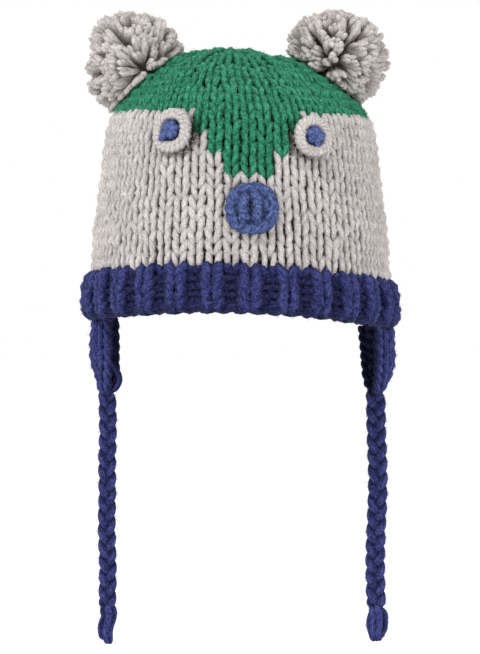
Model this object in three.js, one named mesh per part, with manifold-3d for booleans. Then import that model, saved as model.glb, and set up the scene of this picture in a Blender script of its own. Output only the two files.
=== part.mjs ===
// A child's chunky hand-knitted bear hat: ribbed brim, knitted wall, gathered crown with a stepped
// point, pompom ears, crocheted eyes and nose, and two curled ear flaps with plaited, knotted ties.
// Millimetres, +Z up, the face looks towards -Y, origin in the middle of the head opening.
import * as THREE from "three";
import { mergeVertices } from "three/addons/utils/BufferGeometryUtils.js";
import Module from "manifold-3d";

const wasm = await Module();
wasm.setup();

// Sizes shared by the whole hat
const WALES = 56; // columns of stitches round the hat
const COLUMNS = WALES * 2; // points at every wale edge and every wale middle
const WALE_SPREAD = 0.04; // wales turn through a larger angle at the face and the back than at the sides
const BODY_ROWS = 14; // rows of stitches between brim and crown
const WALL = 7; // thickness of the knitted wall
const WALE_GROOVE = 1.3; // depth of the groove between two wales
const TOOTH = 1.5; // reach of a pointed stitch across a colour change
const SEAM = 0.4; // clear gap along a colour change
const GAP = 0.3; // clear gap between pieces that touch
const DEPTH_RATIO = 1.12; // front-to-back size over side-to-side size

// Levels of the brim and of the crown, seen on the hat's face
const BRIM_HEIGHT = 23.5;
const BRIM_SIDE_DROP = 5.5; // the brim sits lower at both sides than at the face
const BRIM_LEAN = 2.25; // and lower on the right than on the left
const CROWN_HEIGHT = 98;
const CROWN_LEAN = 1.2;
const CROWN_SHIFT = -4; // the gathered top sits a little to the left
const CROWN_SHIFT_FROM = 95;
const GATHERS = 14; // folds that run into the top
const GATHER_DEPTH = 1.1;

// Brim: a band of one-by-one rib that bulges out past the wall
const BRIM_BULGE = 3.2;
const RIB_DEPTH = 1.7;

// Outer face of the wall, from below the brim to the top of the crown
const OUTLINE = [
  { half: 75.6, height: -14 },
  { half: 75.6, height: 0 },
  { half: 75.2, height: 14 },
  { half: 74.7, height: 26 },
  { half: 73.8, height: 41 },
  { half: 71.8, height: 56 },
  { half: 70.4, height: 68 },
  { half: 68.8, height: 81 },
  { half: 67.2, height: 91 },
  { half: 64.8, height: 98 },
  { half: 60.6, height: 104.5 },
  { half: 47, height: 117.5 },
  { half: 27, height: 129 },
  { half: 11, height: 132.2 },
  { half: 0, height: 132.6 },
];

// Stepped point of the crown on the face: wales each side of the middle one, and the row they start on
const CROWN_STEPS = [
  { reach: 1, row: 8 },
  { reach: 2, row: 10 },
  { reach: 3, row: 12 },
];

// Crocheted rounds sewn on the face: place of the middle, sizes
const NOSE = { across: 5.4, height: 49.6, radius: 13.4, thick: 6 };
const EYES = [
  { side: "left", across: -32.5, height: 87.4, radius: 11.2, pupil: 5.6 },
  { side: "right", across: 34.3, height: 84.7, radius: 10.4, pupil: 5 },
];
const EYE_THICK = 5.4;
const PUPIL_THICK = 6;

// Pompom ears
const POMPOMS = [
  { side: "left", across: -52.5, height: 125 },
  { side: "right", across: 48.8, height: 128.3 },
];
const POMPOM_RADIUS = 25;
const POMPOM_CORE = 20;
const LOCK_COUNT = 30;
const LOCK_STAGGER = 0.9; // locks end at three different lengths, this far apart
const LOCK_SIDES = 5;
const LOCK = [
  { radius: 0, along: -12 },
  { radius: 4, along: -9 },
  { radius: 6.8, along: -3.5 },
  { radius: 4.4, along: -0.6 },
  { radius: 0, along: 0 },
];

// Ear flaps, from the brim down to the tie: widths to the front and rear, radius of the curl
const FLAP_ROWS = {
  left: [
    { drop: 0, front: 19, rear: 23, curl: 30, inset: 1.2 },
    { drop: 0.28, front: 19, rear: 23, curl: 25, inset: 0.2 },
    { drop: 0.56, front: 17.5, rear: 21, curl: 21, inset: 0.3 },
    { drop: 0.8, front: 12, rear: 16.5, curl: 16, inset: 2.6 },
    { drop: 1, front: 6, rear: 7, curl: 11, inset: 5.4 },
  ],
  right: [
    { drop: 0, front: 18, rear: 28, curl: 30, inset: -0.6 },
    { drop: 0.28, front: 18, rear: 26.5, curl: 25, inset: -1.9 },
    { drop: 0.56, front: 16, rear: 23.5, curl: 21, inset: -1.6 },
    { drop: 0.8, front: 11.5, rear: 18, curl: 16, inset: 0.6 },
    { drop: 1, front: 6, rear: 9, curl: 11, inset: 4.3 },
  ],
};
const FLAP_THICK = 6;
const FLAP_STEPS = 10; // points across, one ridge to every second point
const FLAP_RIDGE = 0.8;
const FLAP_MIDDLE = 73; // distance of the flap's middle from the centre of the hat
const FLAP_END = -39.6; // level where the flap ends and the tie starts

// Ties: the way each one hangs, as drop below its start and shift to the side and to the front
const TIE_DIAMETER = 8.4;
const TIE_END = -147;
const TIES = [
  {
    side: "left",
    start: -66.6,
    route: [
      { share: 0, aside: 0, ahead: 0 },
      { share: 0.07, aside: 0.1, ahead: 0 },
      { share: 0.14, aside: 0.3, ahead: 0.1 },
      { share: 0.21, aside: 0.3, ahead: 0.2 },
      { share: 0.28, aside: 0, ahead: 0.4 },
      { share: 0.35, aside: -0.1, ahead: 0.5 },
      { share: 0.42, aside: 0, ahead: 0.6 },
      { share: 0.5, aside: 0, ahead: 0.6 },
      { share: 0.57, aside: -0.2, ahead: 0.5 },
      { share: 0.64, aside: -0.3, ahead: 0.4 },
      { share: 0.71, aside: -0.1, ahead: 0.3 },
      { share: 0.78, aside: 0.2, ahead: 0.2 },
      { share: 0.85, aside: 0.3, ahead: 0.1 },
      { share: 0.93, aside: 0.1, ahead: 0 },
      { share: 1, aside: -0.1, ahead: 0 },
    ],
    knot: [
      { radius: 4, drop: 0 },
      { radius: 4.9, drop: 4 },
      { radius: 4.7, drop: 10 },
      { radius: 3.9, drop: 15 },
      { radius: 2.4, drop: 18 },
    ],
  },
  {
    side: "right",
    start: 67.6,
    route: [
      { share: 0, aside: 0, ahead: 0 },
      { share: 0.07, aside: 0.1, ahead: 0 },
      { share: 0.14, aside: 0.2, ahead: -0.1 },
      { share: 0.21, aside: 0.4, ahead: -0.2 },
      { share: 0.28, aside: 0.7, ahead: -0.3 },
      { share: 0.35, aside: 1, ahead: -0.4 },
      { share: 0.42, aside: 1.1, ahead: -0.4 },
      { share: 0.5, aside: 0.9, ahead: -0.3 },
      { share: 0.57, aside: 0.6, ahead: -0.2 },
      { share: 0.64, aside: 0.2, ahead: -0.1 },
      { share: 0.71, aside: -0.1, ahead: 0 },
      { share: 0.78, aside: -0.2, ahead: 0.1 },
      { share: 0.85, aside: -0.2, ahead: 0.1 },
      { share: 0.93, aside: 0, ahead: 0 },
      { share: 1, aside: 0.2, ahead: 0 },
    ],
    knot: [
      { radius: 4, drop: 0 },
      { radius: 5.8, drop: 4.5 },
      { radius: 5.5, drop: 9 },
      { radius: 3.8, drop: 13.5 },
      { radius: 1.2, drop: 17.6 },
    ],
  },
];

// Yarn colours
const GREY = 0xc4bdbb;
const GREEN = 0x377f63;
const NAVY = 0x34386a;
const BLUE = 0x53628f;
const POMPOM_GREY = 0xbeb5b0;
const ROUGHNESS = 0.95;

const outline = new THREE.SplineCurve(OUTLINE.map((row) => new THREE.Vector2(row.half, row.height)));
outline.arcLengthDivisions = 800;
const OUTLINE_LENGTH = outline.getLength();
const OUTLINE_STOPS = 600;
const outlineStops = outline.getSpacedPoints(OUTLINE_STOPS);

// Way along the outline at which it reaches a height
function arcAtHeight(height) {
  const upper = outlineStops.findIndex((stop) => stop.y >= height);
  const low = outlineStops[upper - 1];
  const share = (height - low.y) / (outlineStops[upper].y - low.y);
  return ((upper - 1 + share) / OUTLINE_STOPS) * OUTLINE_LENGTH;
}

// Point of the hat at an angle from the face, a way along the outline and a depth under the outer face
function hatPoint(angle, arc, inward) {
  const share = THREE.MathUtils.clamp(arc / OUTLINE_LENGTH, 0, 1);
  const stop = outline.getPointAt(share);
  const tangent = outline.getTangentAt(share);
  const half = Math.max(0, stop.x - inward * tangent.y);
  const height = stop.y + inward * tangent.x;
  const top = OUTLINE[OUTLINE.length - 1].height;
  const shift = CROWN_SHIFT * THREE.MathUtils.smoothstep(stop.y, CROWN_SHIFT_FROM, top);
  const across = half * Math.sin(angle) + shift;
  return new THREE.Vector3(across, -half * DEPTH_RATIO * Math.cos(angle), height);
}

// Half-width of the outer face at a height
function halfAtHeight(height) {
  return outline.getPointAt(arcAtHeight(height) / OUTLINE_LENGTH).x;
}

// Angle of a column from the face
function columnAngle(column) {
  const even = (column * Math.PI) / WALES;
  return even + WALE_SPREAD * Math.sin(2 * even);
}

const isWaleMiddle = (column) => column % 2 === 1;

function brimDrop(angle) {
  return BRIM_SIDE_DROP * Math.sin(angle) ** 2 + BRIM_LEAN * Math.sin(angle);
}

const brimBottom = (angle) => arcAtHeight(-brimDrop(angle));
const brimTop = (angle) => arcAtHeight(BRIM_HEIGHT - brimDrop(angle));
const crownStart = (angle) => arcAtHeight(CROWN_HEIGHT - CROWN_LEAN * Math.sin(angle));

// Way along the outline at the foot of a row of stitches of the wall
function rowArc(angle, row) {
  return THREE.MathUtils.lerp(brimTop(angle), crownStart(angle), row / BODY_ROWS);
}

// First crown row on a wale, counted from the middle wale of the face
function crownRow(wale) {
  const away = Math.min(Math.abs(wale), WALES - Math.abs(wale));
  const step = CROWN_STEPS.find((entry) => away <= entry.reach);
  return step ? step.row : BODY_ROWS;
}

// Pointed colour changes: low at the middle of each wale, high at its edges
function toothed(column, arc) {
  return isWaleMiddle(column) ? arc - TOOTH : arc + TOOTH;
}

function brimEdge(column) {
  return toothed(column, brimTop(columnAngle(column)));
}

function crownEdge(column) {
  const wale = Math.floor(column / 2);
  const row = isWaleMiddle(column) ? crownRow(wale) : Math.max(crownRow(wale - 1), crownRow(wale));
  return toothed(column, rowArc(columnAngle(column), row));
}

// Geometry from points and triangles, turned so that its faces look outwards
function solidGeometry(points, triangles) {
  const [a, b, c] = [new THREE.Vector3(), new THREE.Vector3(), new THREE.Vector3()];
  let volume = 0;
  for (const [i, j, k] of triangles) {
    a.copy(points[i]);
    b.copy(points[j]);
    c.copy(points[k]);
    volume += a.dot(b.cross(c));
  }
  const faces = volume > 0 ? triangles : triangles.map(([i, j, k]) => [i, k, j]);
  const geometry = new THREE.BufferGeometry();
  geometry.setAttribute(
    "position",
    new THREE.Float32BufferAttribute(points.flatMap((point) => point.toArray()), 3),
  );
  geometry.setIndex(faces.flat());
  return geometry;
}

// Solid whose skin is a loop of stops carried once round; a stop marked as a pole is the same all round
function roundSolid(columns, loop, place) {
  const points = [];
  const triangles = [];
  const rings = loop.length;
  for (let column = 0; column < columns; column += 1) {
    loop.forEach((stop) => points.push(place(column, stop)));
  }
  for (let column = 0; column < columns; column += 1) {
    const next = (column + 1) % columns;
    for (let ring = 0; ring < rings; ring += 1) {
      const after = (ring + 1) % rings;
      const corners = [column * rings + ring, next * rings + ring, next * rings + after, column * rings + after];
      // A lower edge is split the same way as the upper edge that it faces
      const turned = loop[ring].inner && !loop[after].inner ? [3, 0, 1, 2] : [0, 1, 2, 3];
      const [a, b, c, d] = turned.map((corner) => corners[corner]);
      triangles.push([a, b, c], [a, c, d]);
    }
  }
  return mergeVertices(solidGeometry(points, triangles.filter(([i, j, k]) => spread(points, i, j, k))), 1e-3);
}

// True for a triangle with three different corners
function spread(points, i, j, k) {
  const near = 1e-3;
  const apart = (first, second) => points[first].distanceTo(points[second]) > near;
  return apart(i, j) && apart(j, k) && apart(k, i);
}

// Sheet with a thickness: rows of points on two sides, closed along its four edges
function sheetSolid(rows, steps, place) {
  const points = [];
  const triangles = [];
  const sides = [0, 1];
  const index = (row, step, side) => (row * (steps + 1) + step) * sides.length + side;
  const quad = (a, b, c, d) => triangles.push([a, b, c], [a, c, d]);
  for (let row = 0; row <= rows; row += 1) {
    for (let step = 0; step <= steps; step += 1) {
      sides.forEach((side) => points.push(place(row, step, side)));
    }
  }
  for (let row = 0; row < rows; row += 1) {
    for (let step = 0; step < steps; step += 1) {
      quad(index(row, step, 0), index(row + 1, step, 0), index(row + 1, step + 1, 0), index(row, step + 1, 0));
      quad(index(row, step, 1), index(row, step + 1, 1), index(row + 1, step + 1, 1), index(row + 1, step, 1));
    }
    quad(index(row, 0, 0), index(row, 0, 1), index(row + 1, 0, 1), index(row + 1, 0, 0));
    quad(index(row, steps, 0), index(row + 1, steps, 0), index(row + 1, steps, 1), index(row, steps, 1));
  }
  for (let step = 0; step < steps; step += 1) {
    quad(index(0, step, 0), index(0, step + 1, 0), index(0, step + 1, 1), index(0, step, 1));
    quad(index(rows, step, 0), index(rows, step, 1), index(rows, step + 1, 1), index(rows, step + 1, 0));
  }
  return solidGeometry(points, triangles);
}

function toManifold(geometry) {
  const bare = new THREE.BufferGeometry();
  bare.setAttribute("position", geometry.getAttribute("position"));
  bare.setIndex(geometry.getIndex());
  const merged = mergeVertices(bare, 1e-3);
  const vertProperties = new Float32Array(merged.getAttribute("position").array);
  const triVerts = new Uint32Array(merged.getIndex().array);
  return new wasm.Manifold(new wasm.Mesh({ numProp: 3, vertProperties, triVerts }));
}

function fromManifold(solid) {
  const mesh = solid.getMesh();
  const geometry = new THREE.BufferGeometry();
  geometry.setAttribute("position", new THREE.Float32BufferAttribute(mesh.vertProperties, 3));
  geometry.setIndex(Array.from(mesh.triVerts));
  return geometry;
}

// Wall of the hat between two edges, each given as a way along the outline for every column
function wallGeometry(lowEdge, highEdge) {
  const outer = [0, 0.1, 0.35, 0.65, 0.9, 1].map((share) => ({ share, inner: false }));
  const inner = [1, 0.5, 0].map((share) => ({ share, inner: true }));
  const place = (column, stop) => {
    const arc = THREE.MathUtils.lerp(lowEdge(column) + SEAM / 2, highEdge(column) - SEAM / 2, stop.share);
    const groove = isWaleMiddle(column) ? 0 : WALE_GROOVE;
    return hatPoint(columnAngle(column), arc, stop.inner ? WALL : groove);
  };
  return roundSolid(COLUMNS, [...outer, ...inner], place);
}

// Crown: wales run up from the toothed edge and gather into folds round the top
function crownGeometry() {
  const pole = { share: 1, pole: true };
  const outer = [0, 0.12, 0.26, 0.42, 0.58, 0.74, 0.89].map((share) => ({ share, inner: false }));
  const inner = [0.8, 0.55, 0.28, 0].map((share) => ({ share, inner: true }));
  const place = (column, stop) => {
    const angle = columnAngle(column);
    const arc = THREE.MathUtils.lerp(crownEdge(column) + SEAM / 2, OUTLINE_LENGTH, stop.share);
    if (stop.inner) {
      return hatPoint(angle, arc, WALL);
    }
    const fade = stop.share * (1 - stop.share) * 4;
    const groove = isWaleMiddle(column) ? 0 : WALE_GROOVE * (1 - stop.share ** 2);
    const gather = GATHER_DEPTH * fade * (0.5 - 0.5 * Math.cos(GATHERS * angle));
    return hatPoint(angle, arc, groove + gather);
  };
  return roundSolid(COLUMNS, [...outer, { ...pole, inner: false }, { ...pole, inner: true }, ...inner], place);
}

// Brim: ribs stand out on every second wale and run out at the top, and the band bulges between its edges
function brimGeometry() {
  const outer = [0, 0.1, 0.35, 0.65, 0.9, 1].map((share) => ({ share, inner: false }));
  const inner = [1, 0.5, 0].map((share) => ({ share, inner: true }));
  const place = (column, stop) => {
    const angle = columnAngle(column);
    const high = brimEdge(column) - SEAM / 2;
    const arc = THREE.MathUtils.lerp(brimBottom(angle), high, stop.share);
    if (stop.inner) {
      return hatPoint(angle, arc, WALL);
    }
    const bulge = BRIM_BULGE * Math.sin(Math.PI * THREE.MathUtils.clamp(stop.share, 0.12, 0.96)) ** 0.6;
    const rib = RIB_DEPTH * Math.sin((column * Math.PI) / 2) * (1 - stop.share ** 4);
    return hatPoint(angle, arc, -bulge - rib);
  };
  return roundSolid(COLUMNS, [...outer, ...inner], place);
}

// Place on the outer face at a distance and a direction from the middle of a sewn-on round
function roundPoint(round, distance, turn, outward) {
  const half = halfAtHeight(round.height);
  const angle = Math.asin(round.across / half);
  const stretch = half * Math.hypot(Math.cos(angle), DEPTH_RATIO * Math.sin(angle));
  const along = (distance * Math.cos(turn)) / stretch;
  const arc = arcAtHeight(round.height) + distance * Math.sin(turn);
  return hatPoint(angle + along, arc, -GAP - outward);
}

// Domed round sewn flat on the face, or a ring when it has a hole in the middle
function roundGeometry(round, loop, columns) {
  const place = (column, stop) => roundPoint(round, stop.distance, (column * 2 * Math.PI) / columns, stop.outward);
  return roundSolid(columns, loop, place);
}

function domedLoop(radius, thick) {
  return [
    { distance: radius * 0.9, outward: 0 },
    { distance: radius, outward: thick * 0.4 },
    { distance: radius * 0.9, outward: thick * 0.8 },
    { distance: radius * 0.55, outward: thick },
    { distance: 0, outward: thick * 0.95, pole: true },
    { distance: 0, outward: 0, pole: true },
  ];
}

function ringLoop(hole, radius, thick) {
  const middle = (hole + radius) / 2;
  return [
    { distance: radius * 0.92, outward: 0 },
    { distance: radius, outward: thick * 0.45 },
    { distance: radius * 0.9, outward: thick * 0.9 },
    { distance: middle, outward: thick },
    { distance: hole, outward: thick * 0.85 },
    { distance: hole, outward: 0 },
  ];
}

// Directions spread evenly over a ball
function ballDirection(index, count) {
  const height = 1 - (2 * index + 1) / count;
  const turn = index * Math.PI * (3 - Math.sqrt(5));
  const flat = Math.sqrt(1 - height * height);
  return new THREE.Vector3(flat * Math.cos(turn), flat * Math.sin(turn), height);
}

// Filled shape of the crown, a gap larger all round, that a pompom is pressed on to, seen from the pompom
function crownSeat(middle) {
  const shares = [0.35, 0.45, 0.54, 0.6, 0.65, 0.7, 0.76, 0.82, 0.88, 0.94];
  const loop = shares.map((share) => ({ share }));
  const top = { share: 1, pole: true };
  const floor = { share: 0.35, pole: true, floor: true };
  const place = (column, stop) => {
    const angle = stop.pole ? 0 : columnAngle(column * 2);
    const point = hatPoint(angle, stop.share * OUTLINE_LENGTH, -GAP * 2);
    const axis = new THREE.Vector3(0, 0, point.z);
    return (stop.floor ? axis : point).sub(middle);
  };
  return roundSolid(WALES, [...loop, top, floor], place);
}

// Pompom: a ball of locks fused to a core, pressed flat where it sits on the crown
function pompomGeometry(middle) {
  let solid = toManifold(new THREE.SphereGeometry(POMPOM_CORE, 12, 8));
  const up = new THREE.Vector3(0, 1, 0);
  const profile = LOCK.map((stop) => new THREE.Vector2(stop.radius, stop.along));
  for (let index = 0; index < LOCK_COUNT; index += 1) {
    const direction = ballDirection(index, LOCK_COUNT);
    const reach = POMPOM_RADIUS - LOCK_STAGGER * (index % 3);
    const lock = new THREE.LatheGeometry(profile, LOCK_SIDES);
    lock.applyQuaternion(new THREE.Quaternion().setFromUnitVectors(up, direction));
    lock.translate(direction.x * reach, direction.y * reach, direction.z * reach);
    solid = solid.add(toManifold(lock));
  }
  return fromManifold(solid.subtract(toManifold(crownSeat(middle))));
}

// Ear flap: a curled tab that hangs from the brim and narrows to the tie
function flapGeometry(tie) {
  const rows = FLAP_ROWS[tie.side];
  const sign = Math.sign(tie.start);
  const top = -brimDrop((sign * Math.PI) / 2) - GAP;
  const place = (row, step, side) => {
    const entry = rows[row];
    const share = step / FLAP_STEPS;
    const along = THREE.MathUtils.lerp(-entry.front, entry.rear, share);
    const turn = along / entry.curl;
    const ridge = step % 2 === 1 ? 0 : -FLAP_RIDGE;
    const edge = step === 0 || step === FLAP_STEPS ? 0.7 : 1;
    const depth = side === 0 ? (FLAP_THICK / 2) * edge + ridge : (-FLAP_THICK / 2) * edge;
    const radius = entry.curl + depth;
    const out = FLAP_MIDDLE - entry.inset - entry.curl + radius * Math.cos(turn);
    const height = THREE.MathUtils.lerp(top, FLAP_END, entry.drop);
    return new THREE.Vector3(sign * out, radius * Math.sin(turn), height);
  };
  return sheetSolid(rows.length - 1, FLAP_STEPS, place);
}

function tieGeometry(tie) {
  const points = tie.route.map((stop) => {
    const height = THREE.MathUtils.lerp(FLAP_END - GAP, TIE_END, stop.share);
    return new THREE.Vector3(tie.start + stop.aside, -stop.ahead, height);
  });
  const section = new THREE.Shape();
  section.absarc(0, 0, TIE_DIAMETER / 2, 0, 2 * Math.PI);
  const route = new THREE.CatmullRomCurve3(points);
  const options = { steps: 8, curveSegments: 5, bevelEnabled: false, extrudePath: route };
  return new THREE.ExtrudeGeometry(section, options);
}

function knotGeometry(tie) {
  const side = tie.knot.map((stop) => new THREE.Vector2(stop.radius, -stop.drop));
  const first = side[0];
  const last = side[side.length - 1];
  const profile = [new THREE.Vector2(0, last.y), ...side.reverse(), new THREE.Vector2(0, first.y)];
  const geometry = new THREE.LatheGeometry(profile, 12);
  geometry.rotateX(Math.PI / 2);
  return geometry;
}

// Meshes, each with its own yarn
function yarnMesh(name, geometry, colour) {
  const material = new THREE.MeshStandardMaterial({ color: colour, roughness: ROUGHNESS, metalness: 0 });
  const mesh = new THREE.Mesh(geometry, material);
  mesh.name = name;
  return mesh;
}

function faceGroup() {
  const face = new THREE.Group();
  face.add(yarnMesh("nose", roundGeometry(NOSE, domedLoop(NOSE.radius, NOSE.thick), 20), BLUE));
  for (const eye of EYES) {
    const ring = ringLoop(eye.pupil + GAP, eye.radius, EYE_THICK);
    face.add(yarnMesh(`eye_${eye.side}`, roundGeometry(eye, ring, 18), GREY));
    face.add(yarnMesh(`pupil_${eye.side}`, roundGeometry(eye, domedLoop(eye.pupil, PUPIL_THICK), 12), BLUE));
  }
  return face;
}

function pompomMesh(pompom) {
  const middle = new THREE.Vector3(pompom.across, 0, pompom.height);
  const mesh = yarnMesh(`pompom_${pompom.side}`, pompomGeometry(middle), POMPOM_GREY);
  mesh.position.copy(middle);
  return mesh;
}

function earFlapGroup(tie) {
  const end = tie.route[tie.route.length - 1];
  const knot = yarnMesh(`tie_knot_${tie.side}`, knotGeometry(tie), NAVY);
  knot.position.set(tie.start + end.aside, -end.ahead, TIE_END - GAP);
  const flap = new THREE.Group();
  flap.add(yarnMesh(`ear_flap_${tie.side}`, flapGeometry(tie), NAVY));
  flap.add(yarnMesh(`tie_${tie.side}`, tieGeometry(tie), NAVY));
  flap.add(knot);
  return flap;
}

const group = new THREE.Group();
group.name = "bear_hat";
group.add(yarnMesh("brim", brimGeometry(), NAVY));
group.add(yarnMesh("body", wallGeometry(brimEdge, crownEdge), GREY));
group.add(yarnMesh("crown", crownGeometry(), GREEN));
group.add(faceGroup());
POMPOMS.forEach((pompom) => group.add(pompomMesh(pompom)));
TIES.forEach((tie) => group.add(earFlapGroup(tie)));

export default group;
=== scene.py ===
"""Dresses the solids of a child's hand-knitted bear hat in looped, crocheted and plaited yarn."""

import math
from typing import NamedTuple

import bpy
import numpy as np
from bpy.props import FloatProperty, FloatVectorProperty, IntProperty, PointerProperty
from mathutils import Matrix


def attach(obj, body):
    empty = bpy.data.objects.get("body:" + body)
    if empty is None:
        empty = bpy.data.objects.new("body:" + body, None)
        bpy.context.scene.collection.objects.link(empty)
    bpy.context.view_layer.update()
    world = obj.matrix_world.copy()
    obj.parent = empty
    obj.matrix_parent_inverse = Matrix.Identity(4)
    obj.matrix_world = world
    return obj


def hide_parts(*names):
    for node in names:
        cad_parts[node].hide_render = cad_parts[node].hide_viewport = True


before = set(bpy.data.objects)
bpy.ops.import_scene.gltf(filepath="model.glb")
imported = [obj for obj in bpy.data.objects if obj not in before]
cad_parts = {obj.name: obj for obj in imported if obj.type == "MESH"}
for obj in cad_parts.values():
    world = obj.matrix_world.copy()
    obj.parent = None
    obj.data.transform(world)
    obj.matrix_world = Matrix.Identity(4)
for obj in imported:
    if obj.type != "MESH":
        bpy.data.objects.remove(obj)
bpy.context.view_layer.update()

bl_info = {
    "name": "Knitted bear hat",
    "version": (1, 0, 0),
    "blender": (4, 5, 0),
    "location": "View3D > Sidebar > Bear hat",
    "description": "Dresses a bear hat in looped, crocheted and plaited yarn",
    "category": "Object",
}

MM = 0.001
CM = 10 * MM
FULL_TURN = 2 * math.pi


# Rows of the tables below


class OutlineStop(NamedTuple):
    half: float
    height: float


class CrownStep(NamedTuple):
    reach: int
    row: int


class CrownCount(NamedTuple):
    row: int
    wales: int


class Petal(NamedTuple):
    degrees: float
    reach: float


class Round(NamedTuple):
    side: str
    across: float
    height: float
    radius: float
    pupil: float
    petals: tuple


class Pompom(NamedTuple):
    side: str
    across: float
    height: float
    pole: tuple
    root: tuple
    opened: float
    parting: tuple
    lobes: tuple
    seed: int


class Lobe(NamedTuple):
    degrees: float
    reach: float


class Stop(NamedTuple):
    """Place on a strand: to the right in the photo, backwards and upwards, in millimetres."""

    across: float
    behind: float
    rise: float


class FlapRow(NamedTuple):
    drop: float
    front: float
    rear: float
    curl: float
    inset: float


class TieStop(NamedTuple):
    share: float
    aside: float
    ahead: float


class LoopStyle(NamedTuple):
    """One looped stitch: sideways bend in stitches, height in rows, depth and yarn radius in millimetres."""

    bend: float
    height: float
    depth: float
    radius: float
    waist: float
    uneven: float


class YarnLook(NamedTuple):
    """How plainly a yarn's plies show, in relief and as painted shade in the grooves between them, how
    plainly its flecks and painted shaded sides show, and its fibres on a square centimetre.
    """

    plied: float
    flecked: float
    shaded: float
    fibres: float


class RingStyle(NamedTuple):
    """Crocheted ring of two yarns: height over the wall, more of it on the right, and how the yarns wind."""

    outward: float
    tilt: float
    turns: int
    spread: float
    radius: float


class Dome(NamedTuple):
    """Backing of a crocheted round: how far inside its edge it ends, and how thick it is."""

    inset: float
    thick: float


class CurlRing(NamedTuple):
    share: float
    count: int


class Strand(NamedTuple):
    """One length of yarn, with a value for each point.

    Points and radii are in metres. `way` leads out of the fabric, and `light` is how much light gets there.
    """

    points: np.ndarray
    radius: np.ndarray
    way: np.ndarray
    light: np.ndarray
    closed: bool


class Lining(NamedTuple):
    """Closed skin behind strands, and how much light gets to it."""

    points: np.ndarray
    faces: list
    light: float


# Sizes of the hat, in millimetres, as its solids have them
WALES = 56
WALE_SPREAD = 0.04
BODY_ROWS = 14
BRIM_ROWS = 5
DEPTH_RATIO = 1.12
BRIM_HEIGHT = 23.5
BRIM_SIDE_DROP = 5.5
BRIM_LEAN = 2.25
BRIM_BULGE = 3.2
RIB_DEPTH = 2.6
RIB_SHARE = 0.05
CROWN_HEIGHT = 98.0
CROWN_LEAN = 1.2
CROWN_SHIFT = -4.0
CROWN_SHIFT_FROM = 95.0
GAP = 0.3

OUTLINE = (
    OutlineStop(75.6, -14),
    OutlineStop(75.6, 0),
    OutlineStop(75.2, 14),
    OutlineStop(74.7, 26),
    OutlineStop(73.8, 41),
    OutlineStop(71.8, 56),
    OutlineStop(70.4, 68),
    OutlineStop(68.8, 81),
    OutlineStop(67.2, 91),
    OutlineStop(64.8, 98),
    OutlineStop(60.6, 104.5),
    OutlineStop(47, 117.5),
    OutlineStop(27, 129),
    OutlineStop(11, 132.2),
    OutlineStop(0, 132.6),
)

CROWN_STEPS = (CrownStep(1, 8), CrownStep(2, 10), CrownStep(3, 12))
CROWN_ROWS = 13
CROWN_COUNTS = (
    CrownCount(0, 56),
    CrownCount(3, 42),
    CrownCount(6, 28),
    CrownCount(9, 21),
    CrownCount(10, 14),
    CrownCount(12, 7),
)

NOSE = Round("", 5.4, 49.6, 13.0, 0, ())
EYES = (
    Round("left", -32.5, 87.4, 11.2, 5.6, (
        Petal(15, 4.5),
        Petal(65, 4.3),
        Petal(118, 4.5),
        Petal(170, 4.3),
        Petal(223, 7.3),
        Petal(285, 3.9),
        Petal(330, 4.3),
    )),
    Round("right", 34.3, 84.7, 10.4, 5.0, (
        Petal(5, 5.1),
        Petal(50, 3.8),
        Petal(95, 4.6),
        Petal(150, 4.2),
        Petal(215, 4.2),
        Petal(280, 5.3),
        Petal(325, 4.3),
    )),
)
POMPOMS = (
    Pompom("left", -52.5, 125, (0.42, -1, -0.25), (4, -4, -3), 0.45, (1.0, 0.2), (
        Lobe(55, 1.4),
        Lobe(132, 3.6),
        Lobe(180, -1.2),
        Lobe(222, 2.2),
    ), 11),
    Pompom("right", 48.8, 128.3, (-0.28, -1, -0.24), (-2, -2, -3), 0.4, (0.8, -0.6), (
        Lobe(-5, 1.6),
        Lobe(60, -1.5),
        Lobe(100, -1.5),
        Lobe(155, 2.8),
    ), 23),
)
POMPOM_RADIUS = 25.0
POMPOM_TRIM = 0.8
POMPOM_SAG = 0.1
POMPOM_PRESSED = 9.0
POMPOM_CLEAR = 1.2
POMPOM_CORE = 7.0
CORE_POINTS = 9
CORE_BLUNTNESS = 1.01
LOBE_SHARPNESS = 6
STRAND_START = 3.0
STRAND_BEND = 1.5
PARTING_LEAN = 0.2
PARTING_WIDTH = 0.25
PARTING_BEHIND = 0.3
OPENED_LEAST = 0.1
OPENED_WIDTH = 0.45
WISPS = 2
WISP_SPLAY = 1.3
WISP_RADIUS = 1.6
WISP_STOPS = np.array((0, 0.2, 0.4, 0.6, 0.7, 0.76, 0.82, 0.88, 0.94, 1))
WISP_FACING = 0.5
WISP_SWELL = ((0, 0.4, 0.7, 0.86, 0.95, 1), (0.2, 0.45, 0.9, 1.05, 0.9, 0.42))
# Light painted along a wisp from root to tip: painted shade deep in the pompom, more light at the tips
WISP_LIGHT = ((0.3, 0.6, 0.85, 1), (0.8, 1.1, 1.28, 1.34))

# How far the strands of a pompom stray: their roots, the pole, their tips, their lengths and their wisps
WAY_STRAY = 0.08
POLE_STRAY = 0.15
TIP_STRAY = 0.12
REACH_STRAY = 0.6
WISP_TURN_STRAY = 0.1
WISP_RADIUS_STRAY = 0.2
WISP_CUT = (-0.04, 0.01)
WISP_CUT_SHARPNESS = 4
WISP_TONE = (0.85, 1.1)

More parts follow.
